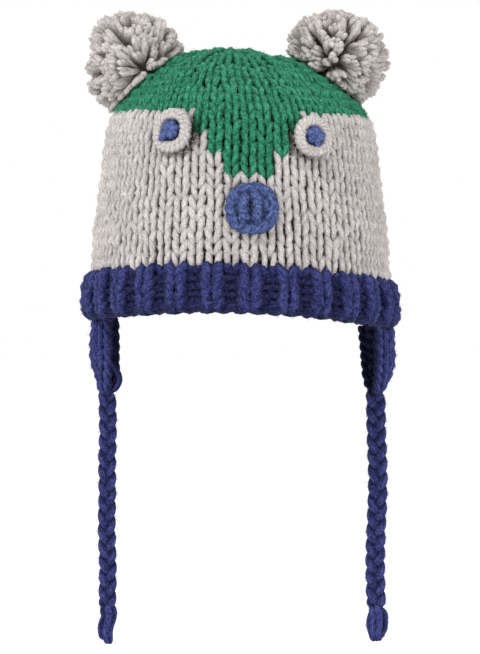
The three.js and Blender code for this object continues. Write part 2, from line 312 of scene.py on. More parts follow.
FLAP_ROWS = {
    "left": (
        FlapRow(0, 19, 23, 30, 1.2),
        FlapRow(0.28, 19, 23, 25, 0.2),
        FlapRow(0.56, 17.5, 21, 21, 0.3),
        FlapRow(0.8, 12, 16.5, 16, 2.6),
        FlapRow(1, 6, 7, 11, 5.4),
    ),
    "right": (
        FlapRow(0, 18, 28, 30, -0.6),
        FlapRow(0.28, 18, 26.5, 25, -1.9),
        FlapRow(0.56, 16, 23.5, 21, -1.6),
        FlapRow(0.8, 11.5, 18, 16, 0.6),
        FlapRow(1, 6, 9, 11, 4.3),
    ),
}
FLAP_SIGN = {"left": -1, "right": 1}
FLAP_SEED = {"left": 13, "right": 17}
FLAP_MIDDLE = 73.0
FLAP_END = -39.6
FLAP_ROW_HEIGHT = 5.2
FLAP_STITCH_WIDTH = 8.0
FLAP_EDGE_POINTS = 40
FLAP_EDGE_WIDTH = 3.0
FLAP_EDGE_INSET = 1.8
FLAP_EDGE_TURNS = 3.5
FLAP_EDGE_SPREAD = 0.9
FLAP_EDGE_RADIUS = 1.5
FLAP_OVERLAP = 0.9
FLAP_REACH = (-0.03, 1.02)
FLAP_EDGE_REACH = (-0.02, 1.0)
FLAP_LINING_STEPS = 10
FLAP_LINING_INSET = 0.04
FLAP_LINING_DEPTH = 0.4

TIE_END = -147.0
TIE_STEPS = 120
TIE_STEPS_TO_A_MARK = 4
CORD_SIDES = 10
TIE_START = {"left": -66.6, "right": 67.6}
TIE_ROUTES = {
    "left": (
        TieStop(0, 0, 0),
        TieStop(0.07, 0.1, 0),
        TieStop(0.14, 0.3, 0.1),
        TieStop(0.21, 0.3, 0.2),
        TieStop(0.28, 0, 0.4),
        TieStop(0.35, -0.1, 0.5),
        TieStop(0.42, 0, 0.6),
        TieStop(0.5, 0, 0.6),
        TieStop(0.57, -0.2, 0.5),
        TieStop(0.64, -0.3, 0.4),
        TieStop(0.71, -0.1, 0.3),
        TieStop(0.78, 0.2, 0.2),
        TieStop(0.85, 0.3, 0.1),
        TieStop(0.93, 0.1, 0),
        TieStop(1, -0.1, 0),
    ),
    "right": (
        TieStop(0, 0, 0),
        TieStop(0.07, 0.1, 0),
        TieStop(0.14, 0.2, -0.1),
        TieStop(0.21, 0.4, -0.2),
        TieStop(0.28, 0.7, -0.3),
        TieStop(0.35, 1, -0.4),
        TieStop(0.42, 1.1, -0.4),
        TieStop(0.5, 0.9, -0.3),
        TieStop(0.57, 0.6, -0.2),
        TieStop(0.64, 0.2, -0.1),
        TieStop(0.71, -0.1, 0),
        TieStop(0.78, -0.2, 0.1),
        TieStop(0.85, -0.2, 0.1),
        TieStop(0.93, 0, 0),
        TieStop(1, 0.2, 0),
    ),
}

PLAIT_SIZE = {"left": 1.0, "right": 1.1}
PLAIT_STRANDS = 3
PLAIT_PITCH = 22.5
PLAIT_ASIDE = 2.5
PLAIT_AHEAD = 1.5
PLAIT_RADIUS = 2.15
PLAIT_END_POINTS = 2
BENT_STEPS = 5
BENT_END_POINTS = 3
END_CLOSED = 0.9
KNOT_RADIUS = 1.95
KNOTS = {
    "left": (
        (Stop(1.6, 0.3, 1), Stop(3, 0.2, -2), Stop(2.8, 0, -6), Stop(1.5, -0.6, -10), Stop(1, -0.8, -14),
         Stop(1.4, -0.4, -18.6)),
        (Stop(-1.2, 0.4, 1), Stop(-1.7, 0.3, -2), Stop(-1.2, 0.2, -5), Stop(-2.5, 0.2, -8.5),
         Stop(-2.8, 0, -12), Stop(-1.8, 0, -16.4)),
        (Stop(0.2, -1.5, 1), Stop(0.8, -2.2, -4), Stop(0.2, -2.6, -8.5), Stop(-0.6, -2, -12.5),
         Stop(0.2, -1.2, -18.4)),
        (Stop(0, 1.6, 1), Stop(0, 2.4, -5), Stop(0, 2.2, -10), Stop(0, 1.2, -15), Stop(0.3, 0.6, -17)),
    ),
    "right": (
        (Stop(-2, 0, 1), Stop(-1.6, 0.2, -2), Stop(-2.9, 0.3, -6.5), Stop(-2.9, 0.2, -10),
         Stop(-1.6, 0, -14.5), Stop(-0.3, 0, -17)),
        (Stop(2, 0, 1), Stop(1.8, 0, -1.2), Stop(4, 0, -3.6), Stop(4.2, 0, -8), Stop(3.6, 0, -11.5),
         Stop(1.4, 0, -15), Stop(0.4, 0, -16.8)),
        (Stop(0, -1.6, 1), Stop(1.2, -2.4, -4), Stop(1.4, -3, -8), Stop(0.8, -2, -13), Stop(0.2, -0.4, -17)),
        (Stop(-1.2, -1.2, 0), Stop(-1.4, -2.2, -6), Stop(-1.2, -1.8, -11), Stop(-0.2, -0.4, -16.5)),
        (Stop(0.3, 1.6, 1), Stop(0.6, 2.6, -5), Stop(0.4, 2.6, -9), Stop(0.2, 1.4, -14), Stop(0, 0.2, -17)),
    ),
}
LEFT_FLAP_LOOP = (
    Stop(-65.5, -11, -26),
    Stop(-62.6, -11, -27.8),
    Stop(-60.6, -10, -31),
    Stop(-60.4, -8, -34.5),
    Stop(-62.2, -6, -38),
    Stop(-65, -5, -39.5),
)
LEFT_FLAP_LOOP_RADIUS = 1.5

# Crochet of the face, in millimetres
RING_STEPS = 16
RING_SQUARENESS = 0.03
EYE_INNER_RING = RingStyle(outward=2.4, tilt=0.5, turns=9, spread=0.7, radius=1.5)
EYE_OUTER_RING = RingStyle(outward=2.1, tilt=0.8, turns=11, spread=0.75, radius=1.5)
NOSE_RING = RingStyle(outward=1.8, tilt=0.0, turns=8, spread=0.9, radius=1.7)
EYE_INNER_OUTSET = 1.6
EYE_OUTER_INSET = 2.1
NOSE_RING_INSET = 2.3
EYE_BACK = Dome(inset=1.5, thick=2.6)
PUPIL_BACK = Dome(inset=0.2, thick=3.2)
NOSE_BACK = Dome(inset=1.6, thick=3.4)
DOME_COLUMNS = 24
DOME_SHOULDER = (0.96, 0.7)
DOME_TOP = 0.7
PETAL_POINTS = 8
PETAL_SWELL = ((0, 0.2, 0.8, 1), (0.6, 1, 1, 0.5))
PETAL_START = 0.2
PETAL_OUTWARD = 3.4
PETAL_ARCH = 0.8
PETAL_DROOP = 0.5
PETAL_RADIUS = 1.85
CURL_RINGS = (CurlRing(1.0, 13), CurlRing(0.72, 5))
CURL_POINTS = 9
CURL_INSET = 3.6
CURL_OUTWARD = 3.6
CURL_ARCH = 1.1
CURL_RADIUS = 1.75
CURL_THINNER = 0.25
CURL_END_SHADE = 0.3
CURL_HALF = (2.4, 3.4)
CURL_TONE = (0.75, 1.15)
CURL_TURN_STRAY = 0.2
CURL_TILT_STRAY = 0.9
CURL_PLACE_STRAY = 0.5
CURL_HEIGHT_STRAY = 0.3
NOSE_ROPES = (-4.0, 2.2)
NOSE_ROPE_POINTS = 40
NOSE_ROPE_HALF = 5.5
NOSE_ROPE_BOW = (1.1, 0.012)
NOSE_ROPE_OUTWARD = 4.1
NOSE_ROPE_TURNS = 2.5
NOSE_ROPE_SPREAD = 1.0
NOSE_ROPE_RADIUS = 1.6

# Stitches and ropes
PLAIN = LoopStyle(bend=0.19, height=2.1, depth=1.7, radius=1.48, waist=0.2, uneven=2.4)
CROWN = LoopStyle(bend=0.2, height=2.1, depth=1.8, radius=1.52, waist=0.2, uneven=2.6)
RIB = LoopStyle(bend=0.2, height=2.0, depth=1.8, radius=2.4, waist=0.12, uneven=2.2)
PURL_THIN = 0.3
TAB = LoopStyle(bend=0.18, height=2.0, depth=1.2, radius=1.8, waist=0.12, uneven=1.6)
STITCH_STEPS = 12
UNEVEN_BEND = 0.1
UNEVEN_ASIDE = 0.025
UNEVEN_HEIGHT = 0.05
UNEVEN_DEPTH = 0.12
UNEVEN_RADIUS = 0.03
YARN_SIDES = 6
ROPE_STRANDS = 2
ROW_CENTRE = 0.45
CAST_ON = 2.8
CAST_ON_STEPS = 8
CAST_ON_RISE = 0.9
CAST_ON_DEPTH = 0.7
CAST_ON_TURN = 4
CAST_ON_SPREAD = 1.1
CAST_ON_RADIUS = 1.9
SEAM_DROP = 1.8
FOLDS = 11
FOLD_PHASE = 0.6
FOLD_DEPTH = 1.1
FOLD_GROWTH = 1.6
FOLD_LEVEL = 0.6
DENT_PLACE = 21.0
DENT_WIDTH = 8.0
DENT_DEPTH = 3.2
DENT_EVEN = 0.6
GATHER_WIDTH = 4.0
GATHER_DEPTH = 2.0
WALL_MIDDLE = 3.5
BRIM_MIDDLE = 3.5
BULGE_REACH = (0.12, 0.96)
BULGE_ROUNDNESS = 0.6
RIB_FADE = 4
LINING_DEPTH = 1.2
LINING_THICK = 1.0
CROWN_LINING_END = 2.0
LINING_ROWS = {"brim": 5, "body": 8, "crown": 12}
SEEDS = {"brim": 3, "body": 5, "crown": 7, "face": 19}

# Yarns and their loose fibres, whose sizes are in millimetres
LOOKS = {
    "grey_yarn": YarnLook(plied=0.22, flecked=0.42, shaded=0.38, fibres=9.0),
    "pompom_yarn": YarnLook(plied=0.1, flecked=0.6, shaded=0.4, fibres=7.0),
    "green_yarn": YarnLook(plied=0.22, flecked=1.4, shaded=0.65, fibres=22.0),
    "navy_yarn": YarnLook(plied=0.15, flecked=1.4, shaded=0.65, fibres=21.0),
    "blue_yarn": YarnLook(plied=0.08, flecked=1.7, shaded=0.6, fibres=90.0),
}
FIBRE_LENGTH = 2.3
FIBRE_RADIUS = 0.07
# Loose fibres get more than all the light: a painted highlight that makes them paler than their yarn
FIBRE_LIGHT = 3.0
FIBRE_POINTS = 3
FIBRE_SIDES = 3
FIBRE_FACING = 0.1
FIBRE_SIZES = (0.5, 1.3)
FIBRE_ARCH = {"Start": (0, 0, -0.05), "Middle": (0.4, 0.14, 0.28), "End": (0.95, -0.1, 0.0)}
FIBRE_ARCH_STEPS = 8

# Surface of the yarn: scales of its noises, what each adds to its tone, and how deep they go; the plies add
# painted shade to the tone in the grooves between them
TWIST_NOISE_SCALE = 350.0
TWIST_NOISE = 0.35
PLY_ROUNDNESS = 0.7
STREAKS_ROUND = 3.2
STREAKS_ALONG = 260.0
FLECK_SCALE = 900.0
PATCH_SCALE = 60.0
STREAK_TONE = 1.6
FLECK_TONE = 1.9
GRAIN_LEVEL = -1.75
PATCH_TONE = 0.3
TONE_LEVEL = 0.57
PLY_LEVEL = 0.7
DARK_YARN = 0.2
PALE_YARN = 1.3
# Grey added to the palest tone: partly the yarn's pale fibres, partly a painted paling of its highlights
PALE_YARN_GREY = 0.03
PLAIN_YARN_TONE = 0.72
GRAIN_RELIEF = 0.35
RELIEF_DEPTH = 0.8

# Light that gets to the strands and the linings, where 1 is all of it, and the shade beside the eyes
LOOP_LIGHT = 0.8
PURL_LIGHT = 0.7
ROPE_LIGHT = 0.8
PLAIT_LIGHT = 0.85
CORE_LIGHT = 0.6
PETAL_LIGHT = 1.08
LINING_LIGHT = 0.3
ROUND_LIGHT = 0.75
EYE_SHADE = 0.85
EYE_SHADE_REACH = 3.0
EYE_SHADE_BELOW = 0.4
STITCH_LIGHT_LIMITS = (0.2, 1.2)
LEAST_SHADE = 0.05

# Picture frame of the photograph, and how much of the object one of its pixels covers
PICTURE_HEIGHT = 654
PICTURE_SCALE = 0.5 * MM
PICTURE_CENTRE = (-0.25 * MM, -7.5 * MM)

# Studio, in metres
SENSOR_HEIGHT = 36.0
CAMERA_REACH = 100.0
KEY_PLACE = (-1.0, -1.4, 1.4)
KEY_SIZE = 0.55
FILL_PLACE = (1.3, -1.6, 0.4)
FILL_SIZE = 1.2
LAMP_AIM = (0, 0, 0.03)
SURROUND_FADE = (-0.3, 0.7)
SEEN_SURROUND = 1.0
FLOOR_HALF = 30.0
FLOOR_LEVEL = -0.2
FLOOR_WHITE = 0.97


# Shape of the hat


def smooth_curve(stops, samples):
    """Points along a smooth curve through the rows of a table."""
    table = np.array(stops, dtype=float)
    before = np.vstack((table[:1], table[:-1]))
    after = np.vstack((table[1:], table[-1:]))
    slope = (after - before) / 2
    pieces = []
    for low, high, start, end in zip(table[:-1], table[1:], slope[:-1], slope[1:]):
        t = np.linspace(0, 1, samples, endpoint=False)[:, None]
        bend = (2 * low - 2 * high + start + end) * t**3
        pieces.append(bend + (-3 * low + 3 * high - 2 * start - end) * t**2 + start * t + low)
    return np.vstack((*pieces, table[-1:]))


class HatSurface:
    """Outer face of the hat by angle from the face, way along the outline and depth under the face."""

    SAMPLES = 40
    STOPS = 1600
    SKIP = 4

    def __init__(self):
        curve = smooth_curve(OUTLINE, self.SAMPLES)
        arc = np.concatenate(([0], np.cumsum(np.linalg.norm(np.diff(curve, axis=0), axis=1))))
        self.length = float(arc[-1])
        self.arc = np.linspace(0, self.length, self.STOPS)
        self.half = np.interp(self.arc, arc, curve[:, 0])
        self.height = np.interp(self.arc, arc, curve[:, 1])
        tangent = np.stack((np.gradient(self.half, self.arc), np.gradient(self.height, self.arc)), axis=1)
        self.tangent = tangent / np.linalg.norm(tangent, axis=1)[:, None]

    def arc_at(self, height):
        return np.interp(height, self.height, self.arc)

    def half_at(self, height):
        return np.interp(height, self.height, self.half)

    def point(self, angle, arc, inward):
        """Points in millimetres; arrays of the same shape go in."""
        arc = np.clip(arc, 0, self.length)
        half = np.interp(arc, self.arc, self.half)
        height = np.interp(arc, self.arc, self.height)
        rise_out = np.interp(arc, self.arc, self.tangent[:, 0])
        rise_up = np.interp(arc, self.arc, self.tangent[:, 1])
        reach = np.maximum(0, half - inward * rise_up)
        across = reach * np.sin(angle) + self.shift(height)
        return np.stack((across, -reach * DEPTH_RATIO * np.cos(angle), height + inward * rise_out), axis=-1)

    def kept_outside(self, points, clear):
        """Points in millimetres, with those inside the hat brought out to a distance from its face."""
        flat = np.stack((points[:, 0] - self.shift(points[:, 2]), points[:, 1] / DEPTH_RATIO), axis=1)
        reach = np.linalg.norm(flat, axis=1)
        face = np.stack((self.half, self.height), axis=1)
        out = np.stack((self.tangent[:, 1], -self.tangent[:, 0]), axis=1)
        place = np.stack((reach, points[:, 2]), axis=1)
        gaps = ((place[:, None, :] - face[None, :: self.SKIP, :]) ** 2).sum(axis=2)
        nearest = np.argmin(gaps, axis=1) * self.SKIP
        depth = ((place - face[nearest]) * out[nearest]).sum(axis=1)
        lift = np.maximum(0, clear - depth)
        moved = place + lift[:, None] * out[nearest]
        scale = moved[:, 0] / np.maximum(reach, 1e-6)
        across = flat[:, 0] * scale + self.shift(points[:, 2])
        return np.stack((across, flat[:, 1] * scale * DEPTH_RATIO, moved[:, 1]), axis=1)

    @staticmethod
    def shift(height):
        top = OUTLINE[-1].height
        share = np.clip((height - CROWN_SHIFT_FROM) / (top - CROWN_SHIFT_FROM), 0, 1)
        return CROWN_SHIFT * share * share * (3 - 2 * share)


HAT = HatSurface()


def wale_angle(across, columns):
    """Angle from the face, with a little more of it to each wale at the face and the back."""
    even = np.asarray(across) * FULL_TURN / columns
    return even + WALE_SPREAD * np.sin(2 * even)


def brim_drop(angle):
    return BRIM_SIDE_DROP * np.sin(angle) ** 2 + BRIM_LEAN * np.sin(angle)


def brim_bottom(angle):
    return HAT.arc_at(-brim_drop(angle))


def brim_top(angle):
    return HAT.arc_at(BRIM_HEIGHT - brim_drop(angle))


def crown_start(angle):
    return HAT.arc_at(CROWN_HEIGHT - CROWN_LEAN * np.sin(angle))


def body_row_arc(angle, row):
    return brim_top(angle) + (crown_start(angle) - brim_top(angle)) * row / BODY_ROWS


def crown_row(wale):
    """First green row on a wale, counted from the middle wale of the face."""
    away = min(abs(wale), WALES - abs(wale))
    return next((step.row for step in CROWN_STEPS if away <= step.reach), BODY_ROWS)


# Ways along the outline to the edges of the linings, for a column at a wale's edge or middle


def cast_on_edge(column):
    return brim_bottom(wale_angle(column, WALES * 2)) + CAST_ON


def body_edge(column):
    return brim_top(wale_angle(column, WALES * 2))


def crown_edge(column):
    wale = column // 2
    row = crown_row(wale) if column % 2 else max(crown_row(wale - 1), crown_row(wale))
    return body_row_arc(wale_angle(column, WALES * 2), row)


def top_edge(column):
    return HAT.length - CROWN_LINING_END


# Yarn paths


def loop_course(first, count, closed, place, style, rng, ribbed=False, tucked=False):
    """One course of looped stitches from stitch `first` on, placed by (across, along, out).

    In rib every second stitch is turned over; tucked heads go behind the next course all the same.
    """
    turn = np.linspace(-math.pi, math.pi, STITCH_STEPS, endpoint=False)[None, :]
    stitch = np.arange(first, first + count, dtype=float)[:, None]

    def uneven(amount):
        return rng.normal(0, amount * style.uneven, (count, 1))

    head = (1 + np.cos(turn)) / 2
    leg = np.sin(turn) ** 2
    middle = stitch + 0.5 + turn / FULL_TURN
    across = middle + style.bend * (1 + uneven(UNEVEN_BEND)) * np.sin(2 * turn) + uneven(UNEVEN_ASIDE) * head
    along = style.height / 2 * np.cos(turn) + uneven(UNEVEN_HEIGHT) * head
    face = np.cos(math.pi * (middle - 0.5)) if ribbed else np.ones_like(middle)
    if tucked:
        face = face + (1 - face) * head
    out = -style.depth * np.cos(2 * turn) * face + uneven(UNEVEN_DEPTH) * leg
    radius = style.radius * (1 - style.waist * np.cos(2 * turn)) * (1 + uneven(UNEVEN_RADIUS) * leg)
    radius = radius * (1 - PURL_THIN * (1 - face) / 2)
    light = (LOOP_LIGHT + (1 - LOOP_LIGHT) * out / style.depth) * (PURL_LIGHT + (1 - PURL_LIGHT) * face)
    parts = [part.ravel() for part in np.broadcast_arrays(across, along, out, radius, light)]
    if not closed:
        ends = (first + count, -style.height / 2, -style.depth, style.radius, LOOP_LIGHT)
        parts = [np.append(part, end) for part, end in zip(parts, ends)]
    across, along, out, radius, light = parts
    points = place(across, along, out)
    way = unit(place(across, along, out + 1) - points)
    return Strand(points * MM, radius * MM, way, np.clip(light, *STITCH_LIGHT_LIMITS), closed)


def unit(vectors):
    return vectors / np.maximum(np.linalg.norm(vectors, axis=-1, keepdims=True), 1e-9)


def twisted_rope(path, normal, turns, spread, radius, closed=False):
    """Strands that wind round a path; `normal` is a direction across the path at each point."""
    path = np.asarray(path, dtype=float)
    if closed:
        along = unit(np.roll(path, -1, axis=0) - np.roll(path, 1, axis=0))
        share = np.arange(len(path)) / len(path)
    else:
        along = unit(np.gradient(path, axis=0))
        share = np.linspace(0, 1, len(path))
    side = unit(np.cross(along, normal))
    up = np.cross(side, along)
    radius = np.broadcast_to(radius, len(path))
    result = []
    for strand in range(ROPE_STRANDS):
        angle = FULL_TURN * (turns * share + strand / ROPE_STRANDS)
        points = path + spread * (np.cos(angle)[:, None] * side + np.sin(angle)[:, None] * up)
        light = ROPE_LIGHT + (1 - ROPE_LIGHT) * np.sin(angle)
        result.append(Strand(points * MM, radius * MM, up, light, closed))
    return result


def leaf(points, radius, way, light=1.0):
    """Short open strand, in millimetres."""
    points = np.asarray(points, dtype=float)
    way = np.broadcast_to(way, points.shape)
    return Strand(points * MM, np.asarray(radius) * MM, way, np.broadcast_to(light, len(points)), False)


def round_skin(columns, loop, place, light):
    """Closed skin of a loop of stops carried once round."""
    rings = len(loop)
    points = np.concatenate([place(column, np.array(loop, dtype=float)) for column in range(columns)]) * MM
    faces = []
    for column in range(columns):
        following = (column + 1) % columns
        for ring in range(rings):
            after = (ring + 1) % rings
            faces.append((column * rings + ring, following * rings + ring,
                          following * rings + after, column * rings + after))
    return Lining(points, faces, light)


def sheet_skin(rows, steps, place, light):
    """Closed skin of a thin sheet, from its two sides."""
    points = np.array([place(row, step, side) for row in range(rows + 1) for step in range(steps + 1)
                       for side in (1, -1)]) * MM

    def face(corners):
        return tuple((row * (steps + 1) + step) * 2 + side for row, step, side in corners)

    faces = []
    for row in range(rows):
        for step in range(steps):
            corners = ((row, step), (row + 1, step), (row + 1, step + 1), (row, step + 1))
            faces.append(face((*corner, 0) for corner in corners))
            faces.append(face((*corner, 1) for corner in reversed(corners)))
        faces.append(face(((row, 0, 0), (row, 0, 1), (row + 1, 0, 1), (row + 1, 0, 0))))
        faces.append(face(((row, steps, 0), (row + 1, steps, 0), (row + 1, steps, 1), (row, steps, 1))))
    for step in range(steps):
        faces.append(face(((0, step, 0), (0, step + 1, 0), (0, step + 1, 1), (0, step, 1))))
        faces.append(face(((rows, step, 0), (rows, step, 1), (rows, step + 1, 1), (rows, step + 1, 0))))
    return Lining(points, faces, light)


# Nodes


class NodeGraph:
    """Short ways to add and join the nodes of one tree."""

    def __init__(self, tree):
        self.tree = tree
        tree.nodes.clear()

    def node(self, kind, inputs=(), **settings):
        made = self.tree.nodes.new(kind)
        for key, value in settings.items():
            setattr(made, key, value)
        for key, value in dict(inputs).items():
            if isinstance(value, bpy.types.NodeSocket):
                self.tree.links.new(value, made.inputs[key])
            else:
                made.inputs[key].default_value = value
        return made

    def math(self, operation, *values, **settings):
        inputs = dict(enumerate(values))
        return self.node("ShaderNodeMath", inputs, operation=operation, **settings).outputs[0]

    def facing(self, normal, way):
        inputs = {0: normal, 1: way}
        return self.node("ShaderNodeVectorMath", inputs, operation="DOT_PRODUCT").outputs["Value"]


class ShapeGraph(NodeGraph):
    """Geometry Nodes tree with named inputs."""

    def __init__(self, name):
        super().__init__(bpy.data.node_groups.new(name, "GeometryNodeTree"))
        self.tree.is_modifier = True

    def socket(self, name, kind, direction="INPUT", default=None):
        made = self.tree.interface.new_socket(name, in_out=direction, socket_type=kind)
        if default is not None:
            made.default_value = default

    def named(self, attribute, kind):
        made = self.node("GeometryNodeInputNamedAttribute", {"Name": attribute}, data_type=kind)
        return made.outputs["Attribute"]

    def store(self, geometry, attribute, kind, value):
        inputs = {"Geometry": geometry, "Name": attribute, "Value": value}
        made = self.node("GeometryNodeStoreNamedAttribute", inputs, data_type=kind, domain="POINT")
        return made.outputs["Geometry"]

    def circle(self, sides, radius):
        inputs = {"Resolution": sides, "Radius": radius}
        return self.node("GeometryNodeCurvePrimitiveCircle", inputs, mode="RADIUS").outputs["Curve"]

    def random(self, low, high, seed):
        """Random number between two limits; the node's float sockets follow its vector sockets."""
        inputs = {2: low, 3: high, "Seed": seed}
        return self.node("FunctionNodeRandomValue", inputs, data_type="FLOAT").outputs[1]


def yarn_tree():
    """Tree that turns centrelines into round yarn, keeps a record of its twist, and joins the lining."""
    name = "Yarn along its path"
    if name in bpy.data.node_groups:
        return bpy.data.node_groups[name]
    graph = ShapeGraph(name)
    graph.socket("Geometry", "NodeSocketGeometry")
    graph.socket("Sides", "NodeSocketInt", default=YARN_SIDES)
    graph.socket("Thickness", "NodeSocketFloat", default=1.0)
    graph.socket("Yarn", "NodeSocketMaterial")
    graph.socket("Geometry", "NodeSocketGeometry", "OUTPUT")
    given = graph.node("NodeGroupInput").outputs
    inputs = {"Geometry": given["Geometry"], "Selection": graph.named("lining", "FLOAT")}
    split = graph.node("GeometryNodeSeparateGeometry", inputs, domain="POINT")
    curve = graph.node("GeometryNodeMeshToCurve", {"Mesh": split.outputs["Inverted"]}).outputs["Curve"]
    length = graph.node("GeometryNodeSplineParameter").outputs["Length"]
    path = graph.store(curve, "ply_along", "FLOAT", length)
    position = graph.node("GeometryNodeInputPosition").outputs["Position"]
    profile = graph.store(graph.circle(given["Sides"], 1.0), "ply_turn", "FLOAT_VECTOR", position)
    radius = graph.math("MULTIPLY", graph.named("yarn_radius", "FLOAT"), given["Thickness"])
    sweep = graph.node("GeometryNodeCurveToMesh",
                       {"Curve": path, "Profile Curve": profile, "Scale": radius, "Fill Caps": True})
    join = graph.node("GeometryNodeJoinGeometry")
    graph.tree.links.new(split.outputs["Selection"], join.inputs["Geometry"])
    graph.tree.links.new(sweep.outputs["Mesh"], join.inputs["Geometry"])
    smooth = graph.node("GeometryNodeSetShadeSmooth", {"Geometry": join.outputs["Geometry"]})
    realize = graph.node("GeometryNodeRealizeInstances", {"Geometry": smooth.outputs["Geometry"]})
    paint = graph.node("GeometryNodeSetMaterial",
                       {"Geometry": realize.outputs["Geometry"], "Material": given["Yarn"]})
    graph.node("NodeGroupOutput", {"Geometry": paint.outputs["Geometry"]})
    return graph.tree


def fuzz_tree():
    """Tree that sets short bent fibres on the outer side of finished yarn."""
    name = "Loose fibres"
    if name in bpy.data.node_groups:
        return bpy.data.node_groups[name]
    graph = ShapeGraph(name)
    graph.socket("Geometry", "NodeSocketGeometry")
    graph.socket("Density", "NodeSocketFloat")
    graph.socket("Length", "NodeSocketFloat", default=FIBRE_LENGTH * MM)
    graph.socket("Seed", "NodeSocketInt", default=1)
    graph.socket("Yarn", "NodeSocketMaterial")
    graph.socket("Geometry", "NodeSocketGeometry", "OUTPUT")
    given = graph.node("NodeGroupInput").outputs
    normal = graph.node("GeometryNodeInputNormal").outputs["Normal"]
    facing = graph.facing(normal, graph.named("way", "FLOAT_VECTOR"))
    outer = graph.node("FunctionNodeCompare", {0: facing, 1: FIBRE_FACING}, operation="GREATER_THAN")
    scatter = graph.node("GeometryNodeDistributePointsOnFaces", {
        "Mesh": given["Geometry"],
        "Selection": outer.outputs["Result"],
        "Density": given["Density"],
        "Seed": given["Seed"],
    })
    arch = graph.node("GeometryNodeCurveQuadraticBezier", {"Resolution": FIBRE_ARCH_STEPS, **FIBRE_ARCH})
    arch = graph.node("GeometryNodeResampleCurve", {"Curve": arch.outputs["Curve"], "Count": FIBRE_POINTS})
    edge = graph.circle(FIBRE_SIDES, FIBRE_RADIUS / FIBRE_LENGTH)
    fibre = graph.node("GeometryNodeCurveToMesh", {"Curve": arch.outputs["Curve"], "Profile Curve": edge})
    spin = graph.node("FunctionNodeAxisAngleToRotation",
                      {"Axis": (0, 0, 1), "Angle": graph.random(0.0, FULL_TURN, 1)}).outputs["Rotation"]
    turned = graph.node("FunctionNodeRotateRotation",
                        {"Rotation": scatter.outputs["Rotation"], "Rotate By": spin}, rotation_space="LOCAL")
    placed = graph.node("GeometryNodeInstanceOnPoints", {
        "Points": scatter.outputs["Points"],
        "Instance": fibre.outputs["Mesh"],
        "Rotation": turned.outputs["Rotation"],
        "Scale": graph.math("MULTIPLY", given["Length"], graph.random(*FIBRE_SIZES, 2)),
    }).outputs["Instances"]
    realize = graph.node("GeometryNodeRealizeInstances", {"Geometry": placed}).outputs["Geometry"]
    # Painted highlight: the fibres get more light than the yarn they stand on
    lit = graph.store(realize, "light", "FLOAT", FIBRE_LIGHT)
    plain = graph.store(lit, "way", "FLOAT_VECTOR", (0, 0, 0))
    paint = graph.node("GeometryNodeSetMaterial", {"Geometry": plain, "Material": given["Yarn"]})
    graph.node("NodeGroupOutput", {"Geometry": paint.outputs["Geometry"]})
    return graph.tree


def socket_key(tree, name):
    """Identifier of a tree's input, by which a modifier's value is set."""
    return next(item.identifier for item in tree.interface.items_tree
                if item.in_out == "INPUT" and item.name == name)


def path_mesh(name, strands, linings):
    """Mesh of the strands' centrelines, and of the closed linings that fill in behind them."""
    points, edges, faces = [], [], []
    for strand in strands:
        start = len(points)
        count = len(strand.points)
        points.extend(strand.points.tolist())
        edges.extend((start + i, start + i + 1) for i in range(count - 1))
        if strand.closed:
            edges.append((start + count - 1, start))
    yarn = len(points)
    for lining in linings:
        start = len(points)
        points.extend(lining.points.tolist())
        faces.extend(tuple(start + corner for corner in face) for face in lining.faces)
    behind = len(points) - yarn
    mesh = bpy.data.meshes.new(name)
    mesh.from_pydata(points, edges, faces)
    radius = np.concatenate([strand.radius for strand in strands] + [np.zeros(behind)])
    light = np.concatenate([strand.light for strand in strands]
                           + [np.full(len(lining.points), lining.light) for lining in linings])
    way = np.concatenate([strand.way for strand in strands] + [np.zeros((behind, 3))])
    lining = np.concatenate((np.zeros(yarn), np.ones(behind)))
    for key, values in (("yarn_radius", radius), ("light", light), ("lining", lining)):
        mesh.attributes.new(key, "FLOAT", "POINT").data.foreach_set("value", values)
    mesh.attributes.new("way", "FLOAT_VECTOR", "POINT").data.foreach_set("vector", way.ravel())
    return mesh


def made_by(tree, name, mesh, values):
    """Plain mesh object that a tree makes from a mesh, with the tree's inputs set by name."""
    source = bpy.data.objects.new(f"{name}_source", mesh)
    bpy.context.scene.collection.objects.link(source)
    modifier = source.modifiers.new(tree.name, "NODES")
    modifier.node_group = tree
    for key, value in values.items():
        modifier[socket_key(tree, key)] = value
    evaluated = source.evaluated_get(bpy.context.evaluated_depsgraph_get())
    result = bpy.data.meshes.new_from_object(evaluated)
    result.name = name
    source.modifiers.remove(modifier)
    bpy.data.objects.remove(source)
    piece = bpy.data.objects.new(name, result)
    bpy.context.scene.collection.objects.link(piece)
    return piece


def yarn_piece(name, slot, nodes, strands, linings=(), sides=YARN_SIDES):
    """Finished piece of round yarn with its loose fibres, which stand for some of the hat's solids."""
    settings = bpy.context.scene.bear_hat
    mesh = path_mesh(f"{name}_paths", strands, linings)
    yarn = material_of(slot)
    values = {"Sides": sides, "Thickness": settings.thickness, "Yarn": yarn}
    piece = made_by(yarn_tree(), name, mesh, values)
    density = LOOKS[slot].fibres * settings.fuzz / CM**2
    values = {"Density": density, "Length": FIBRE_LENGTH * MM, "Seed": len(strands), "Yarn": yarn}
    fibres = made_by(fuzz_tree(), f"{name}_fuzz", piece.data, values)
    bpy.data.meshes.remove(mesh)
    for made in (piece, fibres):
        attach(made, "root")
        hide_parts(*nodes)
    return piece, fibres


# Materials


class ShadeGraph(NodeGraph):
    """Node tree of one material."""

    def __init__(self, name):
        self.material = bpy.data.materials.new(name)
        self.material.use_nodes = True
        super().__init__(self.material.node_tree)

    def weighted(self, *pairs):
        """Sum of values, each times its weight."""
        total = 0.0
        for value, weight in pairs:
            total = self.math("MULTIPLY_ADD", value, weight, total)
        return total

    def attribute(self, key, output):
        return self.node("ShaderNodeAttribute", attribute_name=key).outputs[output]

    def noise(self, vector, scale, detail, roughness=0.5):
        inputs = {"Vector": vector, "Scale": scale, "Detail": detail, "Roughness": roughness}
        return self.node("ShaderNodeTexNoise", inputs).outputs["Fac"]


